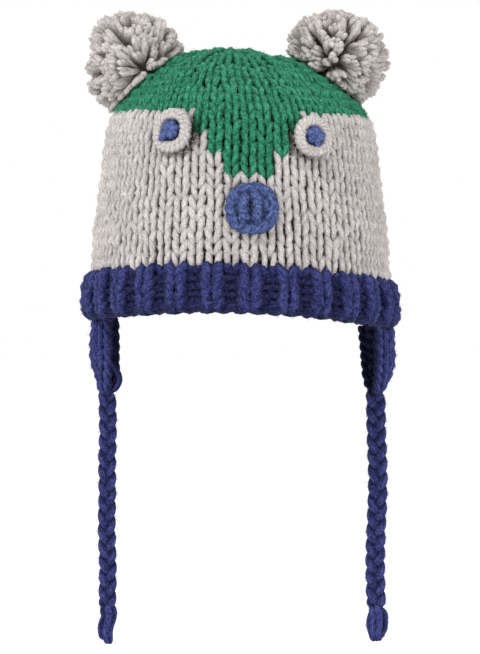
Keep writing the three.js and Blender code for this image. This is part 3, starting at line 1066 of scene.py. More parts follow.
def yarn_material(name, colour, look, settings):
    """Twisted wool: plies that wind round the yarn, with painted shade in the grooves between them, fibres
    along them and a soft sheen.
    """
    graph = ShadeGraph(name)
    place = graph.node("ShaderNodeTexCoord").outputs["Object"]
    turn = graph.node("ShaderNodeSeparateXYZ", {0: graph.attribute("ply_turn", "Vector")}).outputs
    along = graph.attribute("ply_along", "Fac")
    angle = graph.math("DIVIDE", graph.math("ARCTAN2", turn["Y"], turn["X"]), FULL_TURN)
    twist = graph.math("ADD", angle, graph.math("DIVIDE", along, settings.twist))
    twist = graph.math("MULTIPLY_ADD", graph.noise(place, TWIST_NOISE_SCALE, detail=2.0), TWIST_NOISE, twist)
    phase = graph.math("MULTIPLY", twist, math.pi * settings.plies)
    ply = graph.math("POWER", graph.math("ABSOLUTE", graph.math("SINE", phase)), PLY_ROUNDNESS)

    # Fibres lie along the yarn, flecks and patches lie anywhere
    streak = graph.node("ShaderNodeCombineXYZ", {
        "X": graph.math("MULTIPLY", turn["X"], STREAKS_ROUND),
        "Y": graph.math("MULTIPLY", turn["Y"], STREAKS_ROUND),
        "Z": graph.math("MULTIPLY", along, STREAKS_ALONG),
    }).outputs[0]
    fibre = graph.noise(streak, scale=1.0, detail=4.0, roughness=0.65)
    fleck = graph.noise(place, FLECK_SCALE, detail=3.0, roughness=0.7)
    patch = graph.noise(place, PATCH_SCALE, detail=2.0)

    grain = graph.weighted((fibre, STREAK_TONE), (fleck, FLECK_TONE), (1.0, GRAIN_LEVEL))
    level = TONE_LEVEL - PLY_LEVEL * look.plied
    # The plies add painted shade in the grooves between them; fibres, flecks and patches are the yarn's own
    # tone
    tone = graph.weighted((ply, look.plied), (grain, look.flecked), (patch, PATCH_TONE), (1.0, level))
    ramp = graph.node("ShaderNodeValToRGB", {"Fac": tone})
    dark, pale = ramp.color_ramp.elements
    dark.color = (*(DARK_YARN * part for part in colour), 1)
    # The palest tone is greyed a little: partly the yarn's pale fibres, partly a painted paling of its
    # highlights
    pale.color = (*(min(1.0, PALE_YARN * part + PALE_YARN_GREY) for part in colour), 1)
    ramp.color_ramp.elements.new(PLAIN_YARN_TONE).color = (*colour, 1)

    # Less light gets in between the strands and behind them
    normal = graph.node("ShaderNodeTexCoord").outputs["Normal"]
    facing = graph.math("MAXIMUM", graph.facing(normal, graph.attribute("way", "Vector")), 0.0)
    shade = graph.math("MULTIPLY_ADD", facing, look.shaded, 1 - look.shaded)
    shade = graph.math("MULTIPLY", shade, graph.attribute("light", "Fac"))
    paint = graph.node("ShaderNodeVectorMath", {
        0: ramp.outputs["Color"],
        "Scale": graph.math("MAXIMUM", shade, LEAST_SHADE),
    }, operation="SCALE")

    relief = graph.weighted((ply, look.plied), (fibre, GRAIN_RELIEF), (fleck, GRAIN_RELIEF))
    bump = graph.node("ShaderNodeBump", {"Strength": 1.0, "Distance": RELIEF_DEPTH * MM, "Height": relief})
    shader = graph.node("ShaderNodeBsdfPrincipled", {
        "Base Color": paint.outputs["Vector"],
        "Normal": bump.outputs["Normal"],
        "Roughness": 0.92,
        "Specular IOR Level": 0.08,
        "Sheen Weight": 0.03,
        "Sheen Roughness": 0.5,
    })
    graph.node("ShaderNodeOutputMaterial", {"Surface": shader.outputs["BSDF"]})
    return graph.material


def material_of(slot):
    """Material of a yarn, made the first time it is asked for."""
    settings = bpy.context.scene.bear_hat
    name = f"plied_{slot}"
    if name not in bpy.data.materials:
        yarn_material(name, tuple(getattr(settings, slot)), LOOKS[slot], settings)
    return bpy.data.materials[name]


# Knitted wall, crown and brim


def hat_place(columns, row_arc, pitch, middle):
    """Placing function of a course: wales round the hat, rows up its outline, depth from its middle."""

    def place(across, along, out):
        angle = wale_angle(across, columns)
        arc = row_arc(angle) + (ROW_CENTRE + along) * pitch(angle)
        return HAT.point(angle, arc, middle(angle, arc, across) - out)

    return place


def wall_middle(angle, arc, across):
    return WALL_MIDDLE


def crown_middle(angle, arc, across):
    """Depth of the middle of the crown's wall, which gathers into soft folds towards the top."""
    start = HAT.arc_at(CROWN_HEIGHT)
    share = np.clip((arc - start) / (HAT.length - start), 0, 1)
    fold = np.cos(FOLDS * np.asarray(angle) + FOLD_PHASE) * np.sin(math.pi * share**FOLD_GROWTH)
    from_top = HAT.length - arc
    dent = np.exp(-((from_top - DENT_PLACE) / DENT_WIDTH) ** 2)
    dent = dent * (DENT_EVEN + (1 - DENT_EVEN) * np.sin(angle))
    gather = np.exp(-((from_top / GATHER_WIDTH) ** 2))
    return WALL_MIDDLE + FOLD_DEPTH * (FOLD_LEVEL - fold) + DENT_DEPTH * dent + GATHER_DEPTH * gather


def wall_lining(low, high, middle, rows):
    """Thin closed wall behind the legs of the stitches, between two edges given for each column."""
    columns = WALES * 2
    shares = np.linspace(0, 1, rows)
    loop = [(share, 0) for share in shares] + [(share, LINING_THICK) for share in shares[::-1]]

    def place(column, stops):
        angle = np.full(len(stops), wale_angle(column, columns))
        arc = low(column) + (high(column) - low(column)) * stops[:, 0]
        depth = middle(angle, arc, np.full(len(stops), column / 2)) + LINING_DEPTH + stops[:, 1]
        return HAT.point(angle, arc, depth)

    return round_skin(columns, loop, place, LINING_LIGHT)


def body_place(row):
    """Placing function of a course of the wall; the feet of the lowest one reach down over the brim."""

    def pitch(angle):
        return (crown_start(angle) - brim_top(angle)) / BODY_ROWS

    place = hat_place(WALES, lambda angle: body_row_arc(angle, row), pitch, wall_middle)
    reach = 1 + SEAM_DROP * BODY_ROWS / (CROWN_HEIGHT - BRIM_HEIGHT)

    def put(across, along, out):
        return place(across, np.where(along < 0, along * reach, along), out)

    return put if row == 0 else place


def green_reach(row):
    """How many wales on each side of the middle one are green in a row of the wall."""
    return max((step.reach for step in CROWN_STEPS if step.row <= row), default=-1)


def beside_eyes(strand):
    """Strand that gets less light close to the eyes, on the side where their edges stand off the wall."""
    across, front, height = (strand.points / MM).T
    light = strand.light.copy()
    for eye in EYES:
        inward = np.sign(NOSE.across - eye.across) * (across - eye.across)
        drop = eye.height - height
        distance = np.hypot(inward, drop)
        close = np.clip(1 - (distance - eye.radius) / EYE_SHADE_REACH, 0, 1) * (front < 0)
        side = np.clip((inward + EYE_SHADE_BELOW * drop) / distance, 0, 1)
        light *= 1 - EYE_SHADE * close * side
    return strand._replace(light=light)


def body_strands(rng):
    """Grey courses: whole rings below the stepped point, open courses beside it."""
    strands = []
    for row in range(BODY_ROWS):
        reach = green_reach(row)
        count = WALES - (2 * reach + 1)
        strands.append(beside_eyes(loop_course(reach + 1, count, reach < 0, body_place(row), PLAIN, rng)))
    return strands


def crown_strands(rng):
    """Green courses: those of the stepped point, then rings with fewer stitches towards the top."""
    strands = []
    for row in range(CROWN_STEPS[0].row, BODY_ROWS):
        reach = green_reach(row)
        strands.append(beside_eyes(loop_course(-reach, 2 * reach + 1, False, body_place(row), CROWN, rng)))

    def pitch(angle):
        return (HAT.length - crown_start(angle)) / CROWN_ROWS

    for row in range(CROWN_ROWS):
        columns = [entry.wales for entry in CROWN_COUNTS if entry.row <= row][-1]

        def row_arc(angle, row=row):
            return crown_start(angle) + row * pitch(angle)

        place = hat_place(columns, row_arc, pitch, crown_middle)
        strands.append(loop_course(0, columns, True, place, CROWN, rng))
    return strands


def brim_middle(angle, arc, across):
    """Depth of the middle of the rib, which bulges, and stands out on every second wale below its top."""
    share = (arc - brim_bottom(angle)) / (brim_top(angle) - brim_bottom(angle))
    bulge = BRIM_BULGE * np.sin(math.pi * np.clip(share, *BULGE_REACH)) ** BULGE_ROUNDNESS
    fade = 1 - np.clip(share, 0, 1) ** RIB_FADE
    return BRIM_MIDDLE - bulge - RIB_DEPTH * fade * np.cos(math.pi * (across - 0.5))


def brim_strands(rng):
    """Navy one-by-one rib on a cast-on edge."""

    def pitch(angle):
        return (brim_top(angle) - brim_bottom(angle) - CAST_ON - SEAM_DROP) / BRIM_ROWS

    strands = []
    for row in range(BRIM_ROWS):

        def row_arc(angle, row=row):
            return brim_bottom(angle) + CAST_ON + row * pitch(angle)

        place = hat_place(WALES, row_arc, pitch, brim_middle)

        def widened(across, along, out, place=place):
            return place(across - RIB_SHARE * np.cos(math.pi * across), along, out)

        strands.append(loop_course(0, WALES, True, widened, RIB, rng, True, row == BRIM_ROWS - 1))
    across = np.linspace(0, WALES, WALES * CAST_ON_STEPS, endpoint=False)
    angle = wale_angle(across, WALES)
    arc = brim_bottom(angle) + CAST_ON * CAST_ON_RISE
    edge = HAT.point(angle, arc, brim_middle(angle, arc, across) * CAST_ON_DEPTH)
    up = np.tile((0.0, 0.0, 1.0), (len(edge), 1))
    return strands + twisted_rope(edge, up, WALES / CAST_ON_TURN, CAST_ON_SPREAD, CAST_ON_RADIUS, closed=True)


# Crocheted rounds


def round_place(item):
    """Placing function of a sewn-on round: distance and turn from its middle, and height over the face."""
    half = HAT.half_at(item.height)
    middle = math.asin(item.across / half)
    stretch = half * math.hypot(math.cos(middle), DEPTH_RATIO * math.sin(middle))
    level = HAT.arc_at(item.height)

    def place(distance, turn, outward):
        angle = middle + distance * np.cos(turn) / stretch
        return HAT.point(angle, level + distance * np.sin(turn), -GAP - outward + 0 * angle)

    return place


def crochet_ring(place, distance, style):
    """Ring of two yarns that wind round each other, a little squarish."""
    turn = np.linspace(0, FULL_TURN, style.turns * RING_STEPS, endpoint=False)
    distance = distance * (1 - RING_SQUARENESS * np.cos(4 * turn))
    height = style.outward + style.tilt * np.cos(turn)
    path = place(distance, turn, height)
    normal = place(distance, turn, height + 1) - path
    return twisted_rope(path, normal, style.turns, style.spread, style.radius, closed=True)


def crochet_petals(place, petals):
    """Short plump stitches that point away from the middle of a round."""
    share = np.linspace(0, 1, PETAL_POINTS)
    swell = np.interp(share, *PETAL_SWELL)
    strands = []
    for petal in petals:
        turn = math.radians(petal.degrees) + 0 * share
        distance = PETAL_START + (petal.reach - PETAL_START) * share
        height = PETAL_OUTWARD + PETAL_ARCH * np.sin(math.pi * share) - PETAL_DROOP * share
        points = place(distance, turn, height)
        way = unit(place(distance, turn, height + 1) - points)
        strands.append(leaf(points, PETAL_RADIUS * swell, way, PETAL_LIGHT))
    return strands


def crochet_curls(place, radius, rng):
    """Short bent stitches in rings round the middle of a round, each a little askew."""

    def stray(amount):
        return rng.uniform(-amount, amount)

    share = np.linspace(-1, 1, CURL_POINTS)
    strands = []
    for ring in CURL_RINGS:
        for index in range(ring.count):
            middle = FULL_TURN * (index + stray(CURL_TURN_STRAY)) / ring.count
            tilt = stray(CURL_TILT_STRAY)
            half = rng.uniform(*CURL_HALF)
            distance = radius * ring.share
            outer = distance + half * share * math.sin(tilt) + stray(CURL_PLACE_STRAY)
            height = CURL_OUTWARD - ring.share + stray(CURL_HEIGHT_STRAY) - CURL_ARCH * share**2
            turn = middle + half * share * math.cos(tilt) / distance
            points = place(outer, turn, height)
            way = unit(place(outer, turn, height + 1) - points)
            # Painted shade towards the ends of each curl, where it dips into the round
            light = rng.uniform(*CURL_TONE) - CURL_END_SHADE * share**2
            strands.append(leaf(points, CURL_RADIUS * (1 - CURL_THINNER * share**2), way, light))
    return strands


def nose_ropes(place):
    """Two upright ropes side by side over the middle of the nose, bowed towards its edge."""
    rise = np.linspace(-NOSE_ROPE_HALF, NOSE_ROPE_HALF, NOSE_ROPE_POINTS)
    middle, bend = NOSE_ROPE_BOW
    strands = []
    for across in NOSE_ROPES:
        bow = across * (middle - bend * rise**2)
        distance, turn = np.hypot(bow, rise), np.arctan2(rise, bow)
        path = place(distance, turn, NOSE_ROPE_OUTWARD)
        normal = place(distance, turn, NOSE_ROPE_OUTWARD + 1) - path
        strands += twisted_rope(path, normal, NOSE_ROPE_TURNS, NOSE_ROPE_SPREAD, NOSE_ROPE_RADIUS)
    return strands


def domed_lining(place, edge, dome, hole=0.0):
    """Closed low dome, or a ring, under the stitches of a round."""
    radius = edge - dome.inset
    out, up = DOME_SHOULDER
    loop = [
        (radius, 0),
        (radius * out, dome.thick * up),
        (radius * DOME_TOP, dome.thick),
        (hole, dome.thick),
        (hole, 0),
    ]

    def put(column, stops):
        turn = np.full(len(stops), FULL_TURN * column / DOME_COLUMNS)
        return place(stops[:, 0], turn, stops[:, 1])

    return round_skin(DOME_COLUMNS, loop, put, ROUND_LIGHT)


# Pompoms


def even_ways(count):
    """Directions spread evenly over a ball, along a spiral."""
    index = np.arange(count)
    level = 1 - (2 * index + 1) / count
    turn = index * math.pi * (3 - math.sqrt(5))
    flat = np.sqrt(1 - level * level)
    return np.stack((flat * np.cos(turn), flat * np.sin(turn), level), axis=1)


def pompom_tips(pompom, way, rng):
    """Directions of the tips, which open away from the pole and from both sides of the parting."""
    normal = unit(np.array((pompom.parting[0], 0, pompom.parting[1])))
    aside = way @ normal
    pole = unit(np.array(pompom.pole) + rng.normal(0, POLE_STRAY, way.shape))
    front = (way * pole).sum(axis=1)
    lean = PARTING_LEAN * np.exp(-np.abs(aside) / PARTING_WIDTH) * np.clip(front + PARTING_BEHIND, 0, 1)
    away = unit(way - front[:, None] * pole)
    spread = rng.uniform(OPENED_LEAST, pompom.opened, len(way)) * np.exp(-(1 - front) / OPENED_WIDTH)
    tip = unit(way + (np.sign(aside) * lean)[:, None] * normal + spread[:, None] * away)
    return unit(tip + rng.normal(0, TIP_STRAY, way.shape))


def pompom_reach(pompom, way, rng):
    """Lengths of the strands from the middle, which sag at the bottom and bulge in a few lobes."""
    sag = 1 + POMPOM_SAG * np.clip(-way[:, 2], 0, 1)
    reach = (POMPOM_RADIUS - POMPOM_TRIM) * sag + rng.normal(0, REACH_STRAY, len(way))
    for lobe in pompom.lobes:
        turn = math.radians(lobe.degrees)
        toward = np.array((math.cos(turn), 0, math.sin(turn)))
        reach += lobe.reach * np.clip(way @ toward, 0, 1) ** LOBE_SHARPNESS
    return reach


def pompom_core(middle):
    """Plump bead that closes the middle of a pompom, painted in shade."""
    share = np.linspace(-1, 1, CORE_POINTS)
    points = middle + POMPOM_CORE * share[:, None] * np.array((0, 1, 0))
    return leaf(points, POMPOM_CORE * np.sqrt(CORE_BLUNTNESS - share**2), np.zeros(3), CORE_LIGHT)


def pompom_strands(pompom, rng):
    """Cut strands of yarn that stand out from the middle, end in wisps and lie against the crown."""
    settings = bpy.context.scene.bear_hat
    way = even_ways(settings.pompom_strands)
    way = unit(way + rng.normal(0, WAY_STRAY, way.shape))
    tip = pompom_tips(pompom, way, rng)
    reach = pompom_reach(pompom, way, rng)
    share = WISP_STOPS
    bent = (share**STRAND_BEND)[:, None]
    swell = np.interp(share, *WISP_SWELL)
    light = np.interp(share, *WISP_LIGHT)
    middle = np.array((pompom.across, 0, pompom.height))
    root = np.array(pompom.root)
    strands = [pompom_core(middle + root)]
    for start, end, length in zip(way, tip, reach):
        blend = unit(start + (end - start) * bent)
        distance = STRAND_START + (length - STRAND_START) * share
        points = middle + blend * distance[:, None] + root * (1 - share)[:, None]
        pressed = HAT.kept_outside(points[-1:], 0) - points[-1:]
        if np.linalg.norm(pressed) > POMPOM_PRESSED:
            continue
        across = unit(np.cross(blend, rng.normal(0, 1, 3)))
        over = np.cross(blend, across)
        for wisp in range(WISPS):
            turn = FULL_TURN * (wisp / WISPS + rng.uniform(-WISP_TURN_STRAY, WISP_TURN_STRAY))
            aside = (across * math.cos(turn) + over * math.sin(turn)) * WISP_SPLAY * bent
            cut = 1 + rng.uniform(*WISP_CUT) * share[:, None] ** WISP_CUT_SHARPNESS
            placed = HAT.kept_outside(middle + (points + aside - middle) * cut, POMPOM_CLEAR)
            radius = swell * rng.normal(WISP_RADIUS, WISP_RADIUS_STRAY)
            strands.append(leaf(placed, radius, WISP_FACING * blend, light * rng.uniform(*WISP_TONE)))
    return strands


# Ear flaps, ties and knots


def flap_top(sign):
    return float(-brim_drop(sign * math.pi / 2) - GAP)


def flap_row(side, drop):
    """Row of a flap's table, read between its stops."""
    table = np.array(FLAP_ROWS[side])
    return [np.interp(drop, table[:, 0], table[:, column]) for column in range(1, table.shape[1])]


def flap_place(side):
    """Placing function of a flap: share of its drop, share of the way from front to rear, and depth."""
    sign = FLAP_SIGN[side]
    top = flap_top(sign)

    def place(drop, share, depth):
        front, rear, curl, inset = flap_row(side, drop)
        turn = (-front + (rear + front) * share) / curl
        reach = curl + depth
        out = FLAP_MIDDLE - inset - curl + reach * np.cos(turn)
        return np.stack((sign * out, reach * np.sin(turn), top + (FLAP_END - top) * drop + 0 * out), axis=-1)

    return place


def flap_strands(side, rng):
    """Rows of stitches down the flap, and a twisted edge down each side."""
    place = flap_place(side)
    rows = round((flap_top(FLAP_SIGN[side]) - FLAP_END) / FLAP_ROW_HEIGHT)
    strands = []
    for row in range(rows):
        front, rear, _, _ = flap_row(side, (row + 0.5) / rows)
        count = max(2, round((front + rear - FLAP_EDGE_WIDTH) / FLAP_STITCH_WIDTH))
        inset = FLAP_EDGE_INSET / (front + rear)

        def put(across, along, out, count=count, row=row, inset=inset):
            share = inset + (1 - 2 * inset) * across / count
            level = np.clip((row + 0.5 - FLAP_OVERLAP * along) / rows, *FLAP_REACH)
            return place(level, share, out)

        strands.append(loop_course(0, count, False, put, TAB, rng))
    drop = np.linspace(*FLAP_EDGE_REACH, FLAP_EDGE_POINTS)
    for share in (0.0, 1.0):
        edge = place(drop, share + 0 * drop, 0 * drop)
        outward = place(drop, share + 0 * drop, 0 * drop + 1) - edge
        strands += twisted_rope(edge, outward, FLAP_EDGE_TURNS, FLAP_EDGE_SPREAD, FLAP_EDGE_RADIUS)
    if side == "left":
        strands.append(bent_strand(np.zeros(3), LEFT_FLAP_LOOP, LEFT_FLAP_LOOP_RADIUS))
    return strands


def flap_lining(side):
    """Thin closed sheet behind the stitches of a flap."""
    place = flap_place(side)
    steps = FLAP_LINING_STEPS

    def put(row, step, face):
        share = FLAP_LINING_INSET + (1 - 2 * FLAP_LINING_INSET) * step / steps
        return place(row / steps, share, face * LINING_THICK / 2 - FLAP_LINING_DEPTH)

    return sheet_skin(steps, steps, put, LINING_LIGHT)


def tie_path(side):
    """Centreline of a tie, in millimetres, close enough together to follow its curve."""
    route = np.array(TIE_ROUTES[side])
    share = np.linspace(0, 1, TIE_STEPS + 1)
    aside, ahead = (np.interp(share, route[:, 0], route[:, column]) for column in (1, 2))
    start = FLAP_END - GAP
    return np.stack((TIE_START[side] + aside, -ahead, start + (TIE_END - start) * share), axis=1)


def plait_strands(side):
    """Three strands that cross over one another down the tie."""
    path = tie_path(side)
    size = PLAIT_SIZE[side]
    length = np.concatenate(([0], np.cumsum(np.linalg.norm(np.diff(path, axis=0), axis=1))))
    radius = size * PLAIT_RADIUS * rounded_ends(len(path), PLAIT_END_POINTS)
    strands = []
    for strand in range(PLAIT_STRANDS):
        phase = FULL_TURN * (length / PLAIT_PITCH + strand / PLAIT_STRANDS)
        weave = (PLAIT_ASIDE * np.sin(phase), PLAIT_AHEAD * np.sin(2 * phase), 0 * phase)
        aside = size * np.stack(weave, axis=1)
        strands.append(leaf(path + aside, radius, unit(aside * (1, 2, 1)), PLAIT_LIGHT))
    return strands


def rounded_ends(count, steps):
    """Radius shares of a strand whose ends close within a few points."""
    near = np.minimum(np.arange(count), np.arange(count)[::-1]) / steps
    return np.sqrt(1 - np.clip(1 - near, 0, END_CLOSED) ** 2)


def bent_strand(middle, stops, radius):
    """Strand through a few stops beside an upright axis, with rounded ends."""
    aside = smooth_curve(stops, BENT_STEPS)
    return leaf(middle + aside, radius * rounded_ends(len(aside), BENT_END_POINTS), unit(aside * (1, 1, 0)))


def knot_strands(side):
    """Bent strands from the end of a tie's centreline downwards."""
    middle = tie_path(side)[-1] - (0, 0, GAP)
    return [bent_strand(middle, stops, KNOT_RADIUS) for stops in KNOTS[side]]


# Operators


class BEARHAT_OT_stage(bpy.types.Operator):
    """Set up the camera, the light and the floor"""

    bl_idname = "bearhat.stage"
    bl_label = "Camera, light and floor"

    def execute(self, context):
        scene = context.scene
        settings = scene.bear_hat
        data = bpy.data.cameras.new("camera")
        data.sensor_fit = "VERTICAL"
        data.sensor_height = SENSOR_HEIGHT
        data.lens = SENSOR_HEIGHT * settings.camera_distance / (PICTURE_HEIGHT * PICTURE_SCALE)
        data.clip_end = CAMERA_REACH
        camera = bpy.data.objects.new("camera", data)
        camera.location = (PICTURE_CENTRE[0], -settings.camera_distance, PICTURE_CENTRE[1])
        camera.rotation_euler = (math.pi / 2, 0, 0)
        scene.collection.objects.link(camera)
        scene.camera = camera
        scene.world = studio_world(settings)
        scene.view_settings.view_transform = "Standard"
        soft_lamp("key_lamp", KEY_PLACE, KEY_SIZE, settings.key_power)
        soft_lamp("fill_lamp", FILL_PLACE, FILL_SIZE, settings.fill_power)
        pale_floor()
        return {"FINISHED"}


def studio_world(settings):
    """Surround that lights the hat from behind and above, and that the camera sees as even white."""
    world = bpy.data.worlds.new("studio")
    world.use_nodes = True
    graph = NodeGraph(world.node_tree)
    way = graph.node("ShaderNodeTexCoord").outputs["Generated"]
    split = graph.node("ShaderNodeSeparateXYZ", {0: way}).outputs
    fade = graph.node("ShaderNodeMapRange", {
        "Value": split["Y"],
        "From Min": SURROUND_FADE[0],
        "From Max": SURROUND_FADE[1],
        "To Min": settings.front_light,
        "To Max": settings.back_light,
    }, interpolation_type="SMOOTHSTEP").outputs["Result"]
    above = graph.math("MULTIPLY", split["Z"], settings.top_light, use_clamp=True)
    strength = graph.node("ShaderNodeMix", {
        "Factor": graph.node("ShaderNodeLightPath").outputs["Is Camera Ray"],
        "A": graph.math("ADD", fade, above),
        "B": SEEN_SURROUND,
    }).outputs["Result"]
    background = graph.node("ShaderNodeBackground", {"Color": (1, 1, 1, 1), "Strength": strength})
    graph.node("ShaderNodeOutputWorld", {"Surface": background.outputs["Background"]})
    return world


def soft_lamp(name, place, size, power):
    """Large soft lamp that looks at the hat."""
    data = bpy.data.lights.new(name, "AREA")
    data.size = size
    data.energy = power
    lamp = bpy.data.objects.new(name, data)
    lamp.location = place
    across, back, up = np.array(place) - np.array(LAMP_AIM)
    tilt = math.atan2(math.hypot(across, back), up)
    lamp.rotation_euler = (tilt, 0, math.atan2(back, across) + math.pi / 2)
    bpy.context.scene.collection.objects.link(lamp)


def pale_floor():
    """Plain floor under the ends of the ties."""
    mesh = bpy.data.meshes.new("floor")
    corners = [(FLOOR_HALF * x, FLOOR_HALF * y, FLOOR_LEVEL) for x, y in ((-1, -1), (1, -1), (1, 1), (-1, 1))]
    mesh.from_pydata(corners, [], [(0, 1, 2, 3)])
    material = bpy.data.materials.new("pale_floor")
    material.use_nodes = True
    shader = material.node_tree.nodes["Principled BSDF"]
    shader.inputs["Base Color"].default_value = (FLOOR_WHITE, FLOOR_WHITE, FLOOR_WHITE, 1)
    shader.inputs["Roughness"].default_value = 1.0
    shader.inputs["Specular IOR Level"].default_value = 0.0
    mesh.materials.append(material)
    floor = bpy.data.objects.new("floor", mesh)
    bpy.context.scene.collection.objects.link(floor)


class BEARHAT_OT_ties(bpy.types.Operator):
    """Plait the ties and knot their ends"""

    bl_idname = "bearhat.ties"
    bl_label = "Ties and knots"

    def execute(self, context):
        for side in ("left", "right"):
            knot = yarn_piece(f"knot_{side}", "navy_yarn", [f"tie_knot_{side}"], knot_strands(side),
                              sides=CORD_SIDES)
            tie, fuzz = yarn_piece(f"plait_{side}", "navy_yarn", [f"tie_{side}"], plait_strands(side),
                                   sides=CORD_SIDES)
            path = tie_path(side)[::TIE_STEPS_TO_A_MARK] * MM
        return {"FINISHED"}


class BEARHAT_OT_flaps(bpy.types.Operator):
    """Knit the curled ear flaps"""

    bl_idname = "bearhat.flaps"
    bl_label = "Ear flaps"

    def execute(self, context):
        for side, seed in FLAP_SEED.items():
            strands = flap_strands(side, np.random.default_rng(seed))
            yarn_piece(f"flap_{side}", "navy_yarn", [f"ear_flap_{side}"], strands, [flap_lining(side)])
        return {"FINISHED"}


class BEARHAT_OT_brim(bpy.types.Operator):
    """Knit the ribbed brim"""

    bl_idname = "bearhat.brim"
    bl_label = "Ribbed brim"

    def execute(self, context):
        rng = np.random.default_rng(SEEDS["brim"])
        lining = wall_lining(cast_on_edge, body_edge, brim_middle, LINING_ROWS["brim"])
        yarn_piece("brim_rib", "navy_yarn", ["brim"], brim_strands(rng), [lining])
        return {"FINISHED"}


class BEARHAT_OT_body(bpy.types.Operator):
    """Knit the plain wall"""

    bl_idname = "bearhat.body"
    bl_label = "Plain wall"

    def execute(self, context):
        rng = np.random.default_rng(SEEDS["body"])
        lining = wall_lining(body_edge, crown_edge, wall_middle, LINING_ROWS["body"])
        yarn_piece("body_knit", "grey_yarn", ["body"], body_strands(rng), [lining])
        return {"FINISHED"}


class BEARHAT_OT_crown(bpy.types.Operator):
    """Knit the crown and its stepped point"""

    bl_idname = "bearhat.crown"
    bl_label = "Crown"

    def execute(self, context):
        rng = np.random.default_rng(SEEDS["crown"])
        lining = wall_lining(crown_edge, top_edge, crown_middle, LINING_ROWS["crown"])
        yarn_piece("crown_knit", "green_yarn", ["crown"], crown_strands(rng), [lining])
        return {"FINISHED"}


class BEARHAT_OT_face(bpy.types.Operator):
    """Crochet the nose and the eyes"""

    bl_idname = "bearhat.face"
    bl_label = "Nose and eyes"

    def execute(self, context):
        for eye in EYES:
            place = round_place(eye)
            ring = crochet_ring(place, eye.pupil + EYE_INNER_OUTSET, EYE_INNER_RING)
            ring += crochet_ring(place, eye.radius - EYE_OUTER_INSET, EYE_OUTER_RING)
            yarn_piece(f"eye_ring_{eye.side}", "grey_yarn", [f"eye_{eye.side}"], ring,
                       [domed_lining(place, eye.radius, EYE_BACK, eye.pupil)])
            yarn_piece(f"eye_middle_{eye.side}", "blue_yarn", [f"pupil_{eye.side}"],
                       crochet_petals(place, eye.petals), [domed_lining(place, eye.pupil, PUPIL_BACK)])
        place = round_place(NOSE)
        rng = np.random.default_rng(SEEDS["face"])
        strands = crochet_ring(place, NOSE.radius - NOSE_RING_INSET, NOSE_RING)
        strands += crochet_curls(place, NOSE.radius - CURL_INSET, rng)
        strands += nose_ropes(place)
        back = domed_lining(place, NOSE.radius, NOSE_BACK)
        yarn_piece("nose_round", "blue_yarn", ["nose"], strands, [back])
        return {"FINISHED"}


class BEARHAT_OT_pompoms(bpy.types.Operator):
    """Make the two pompoms"""

    bl_idname = "bearhat.pompoms"
    bl_label = "Pompoms"

    def execute(self, context):
        for pompom in POMPOMS:
            strands = pompom_strands(pompom, np.random.default_rng(pompom.seed))
            yarn_piece(f"pompom_yarn_{pompom.side}", "pompom_yarn", [f"pompom_{pompom.side}"], strands)
        return {"FINISHED"}


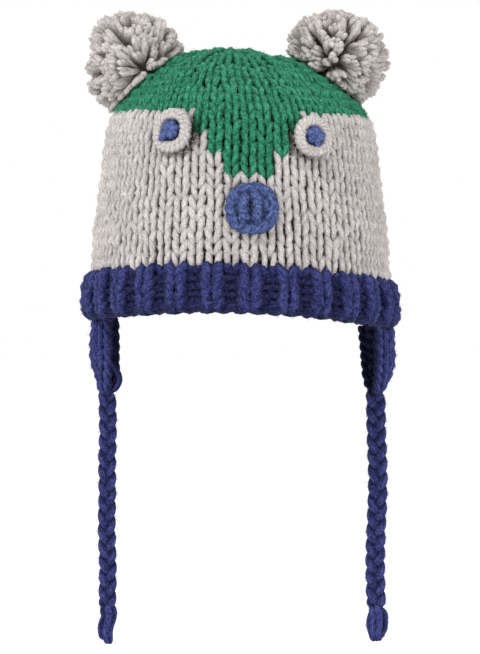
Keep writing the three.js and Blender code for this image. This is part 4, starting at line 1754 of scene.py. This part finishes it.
class BearHatSettings(bpy.types.PropertyGroup):
    """Colours and sizes of the yarn, and the studio"""

    grey_yarn: FloatVectorProperty(
        name="Grey", description="Yarn of the wall and the eyes", subtype="COLOR",
        default=(0.565, 0.528, 0.513), min=0, max=1)
    pompom_yarn: FloatVectorProperty(
        name="Pompom grey", description="Cut yarn of the pompoms", subtype="COLOR",
        default=(0.57, 0.525, 0.505), min=0, max=1)
    green_yarn: FloatVectorProperty(
        name="Green", description="Yarn of the crown", subtype="COLOR",
        default=(0.026, 0.23, 0.13), min=0, max=1)
    navy_yarn: FloatVectorProperty(
        name="Navy", description="Yarn of the brim, flaps and ties", subtype="COLOR",
        default=(0.04, 0.048, 0.19), min=0, max=1)
    blue_yarn: FloatVectorProperty(
        name="Blue", description="Yarn of the nose and pupils", subtype="COLOR",
        default=(0.084, 0.124, 0.305), min=0, max=1)
    thickness: FloatProperty(
        name="Yarn thickness", description="Times the yarn's own thickness", default=1.0, min=0.5, max=1.5)
    fuzz: FloatProperty(
        name="Fuzz", description="Times the usual number of loose fibres", default=1.0, min=0, max=2)
    plies: IntProperty(
        name="Plies", description="Plies twisted into the yarn", default=5, min=2, max=12)
    twist: FloatProperty(
        name="Twist", description="Length of one turn of the twist", subtype="DISTANCE",
        default=0.013, min=0.002)
    pompom_strands: IntProperty(
        name="Pompom strands", description="Cut strands in one pompom", default=370, min=50, max=1200)
    back_light: FloatProperty(
        name="Back light", description="Strength of the surround behind the hat", default=0.985, min=0)
    top_light: FloatProperty(
        name="Top light", description="Strength that the surround gains overhead", default=0.75, min=0)
    front_light: FloatProperty(
        name="Front light", description="Strength of the surround on the camera's side", default=0.3, min=0)
    key_power: FloatProperty(
        name="Key lamp", description="Power of the main lamp", subtype="POWER", default=21.0)
    fill_power: FloatProperty(
        name="Fill lamp", description="Power of the second lamp", subtype="POWER", default=8.0)
    camera_distance: FloatProperty(
        name="Camera distance", description="From the camera to the middle of the hat", subtype="DISTANCE",
        default=2.4, min=0.5)


class BEARHAT_PT_sidebar(bpy.types.Panel):
    """Steps and settings of the bear hat"""

    bl_idname = "BEARHAT_PT_sidebar"
    bl_label = "Bear hat"
    bl_space_type = "VIEW_3D"
    bl_region_type = "UI"
    bl_category = "Bear hat"

    def draw(self, context):
        for name in BearHatSettings.__annotations__:
            self.layout.prop(context.scene.bear_hat, name)
        for operator in OPERATORS:
            self.layout.operator(operator.bl_idname)


OPERATORS = (
    BEARHAT_OT_stage,
    BEARHAT_OT_ties,
    BEARHAT_OT_flaps,
    BEARHAT_OT_brim,
    BEARHAT_OT_body,
    BEARHAT_OT_crown,
    BEARHAT_OT_face,
    BEARHAT_OT_pompoms,
)
CLASSES = (BearHatSettings, *OPERATORS, BEARHAT_PT_sidebar)


def register():
    for cls in CLASSES:
        bpy.utils.register_class(cls)
    bpy.types.Scene.bear_hat = PointerProperty(type=BearHatSettings)


def unregister():
    del bpy.types.Scene.bear_hat
    for cls in reversed(CLASSES):
        bpy.utils.unregister_class(cls)


def main():
    register()
    bpy.ops.bearhat.stage()
    bpy.ops.bearhat.ties()
    bpy.ops.bearhat.flaps()
    bpy.ops.bearhat.brim()
    bpy.ops.bearhat.body()
    bpy.ops.bearhat.crown()
    bpy.ops.bearhat.face()
    bpy.ops.bearhat.pompoms()


if __name__ == "__main__":
    main()
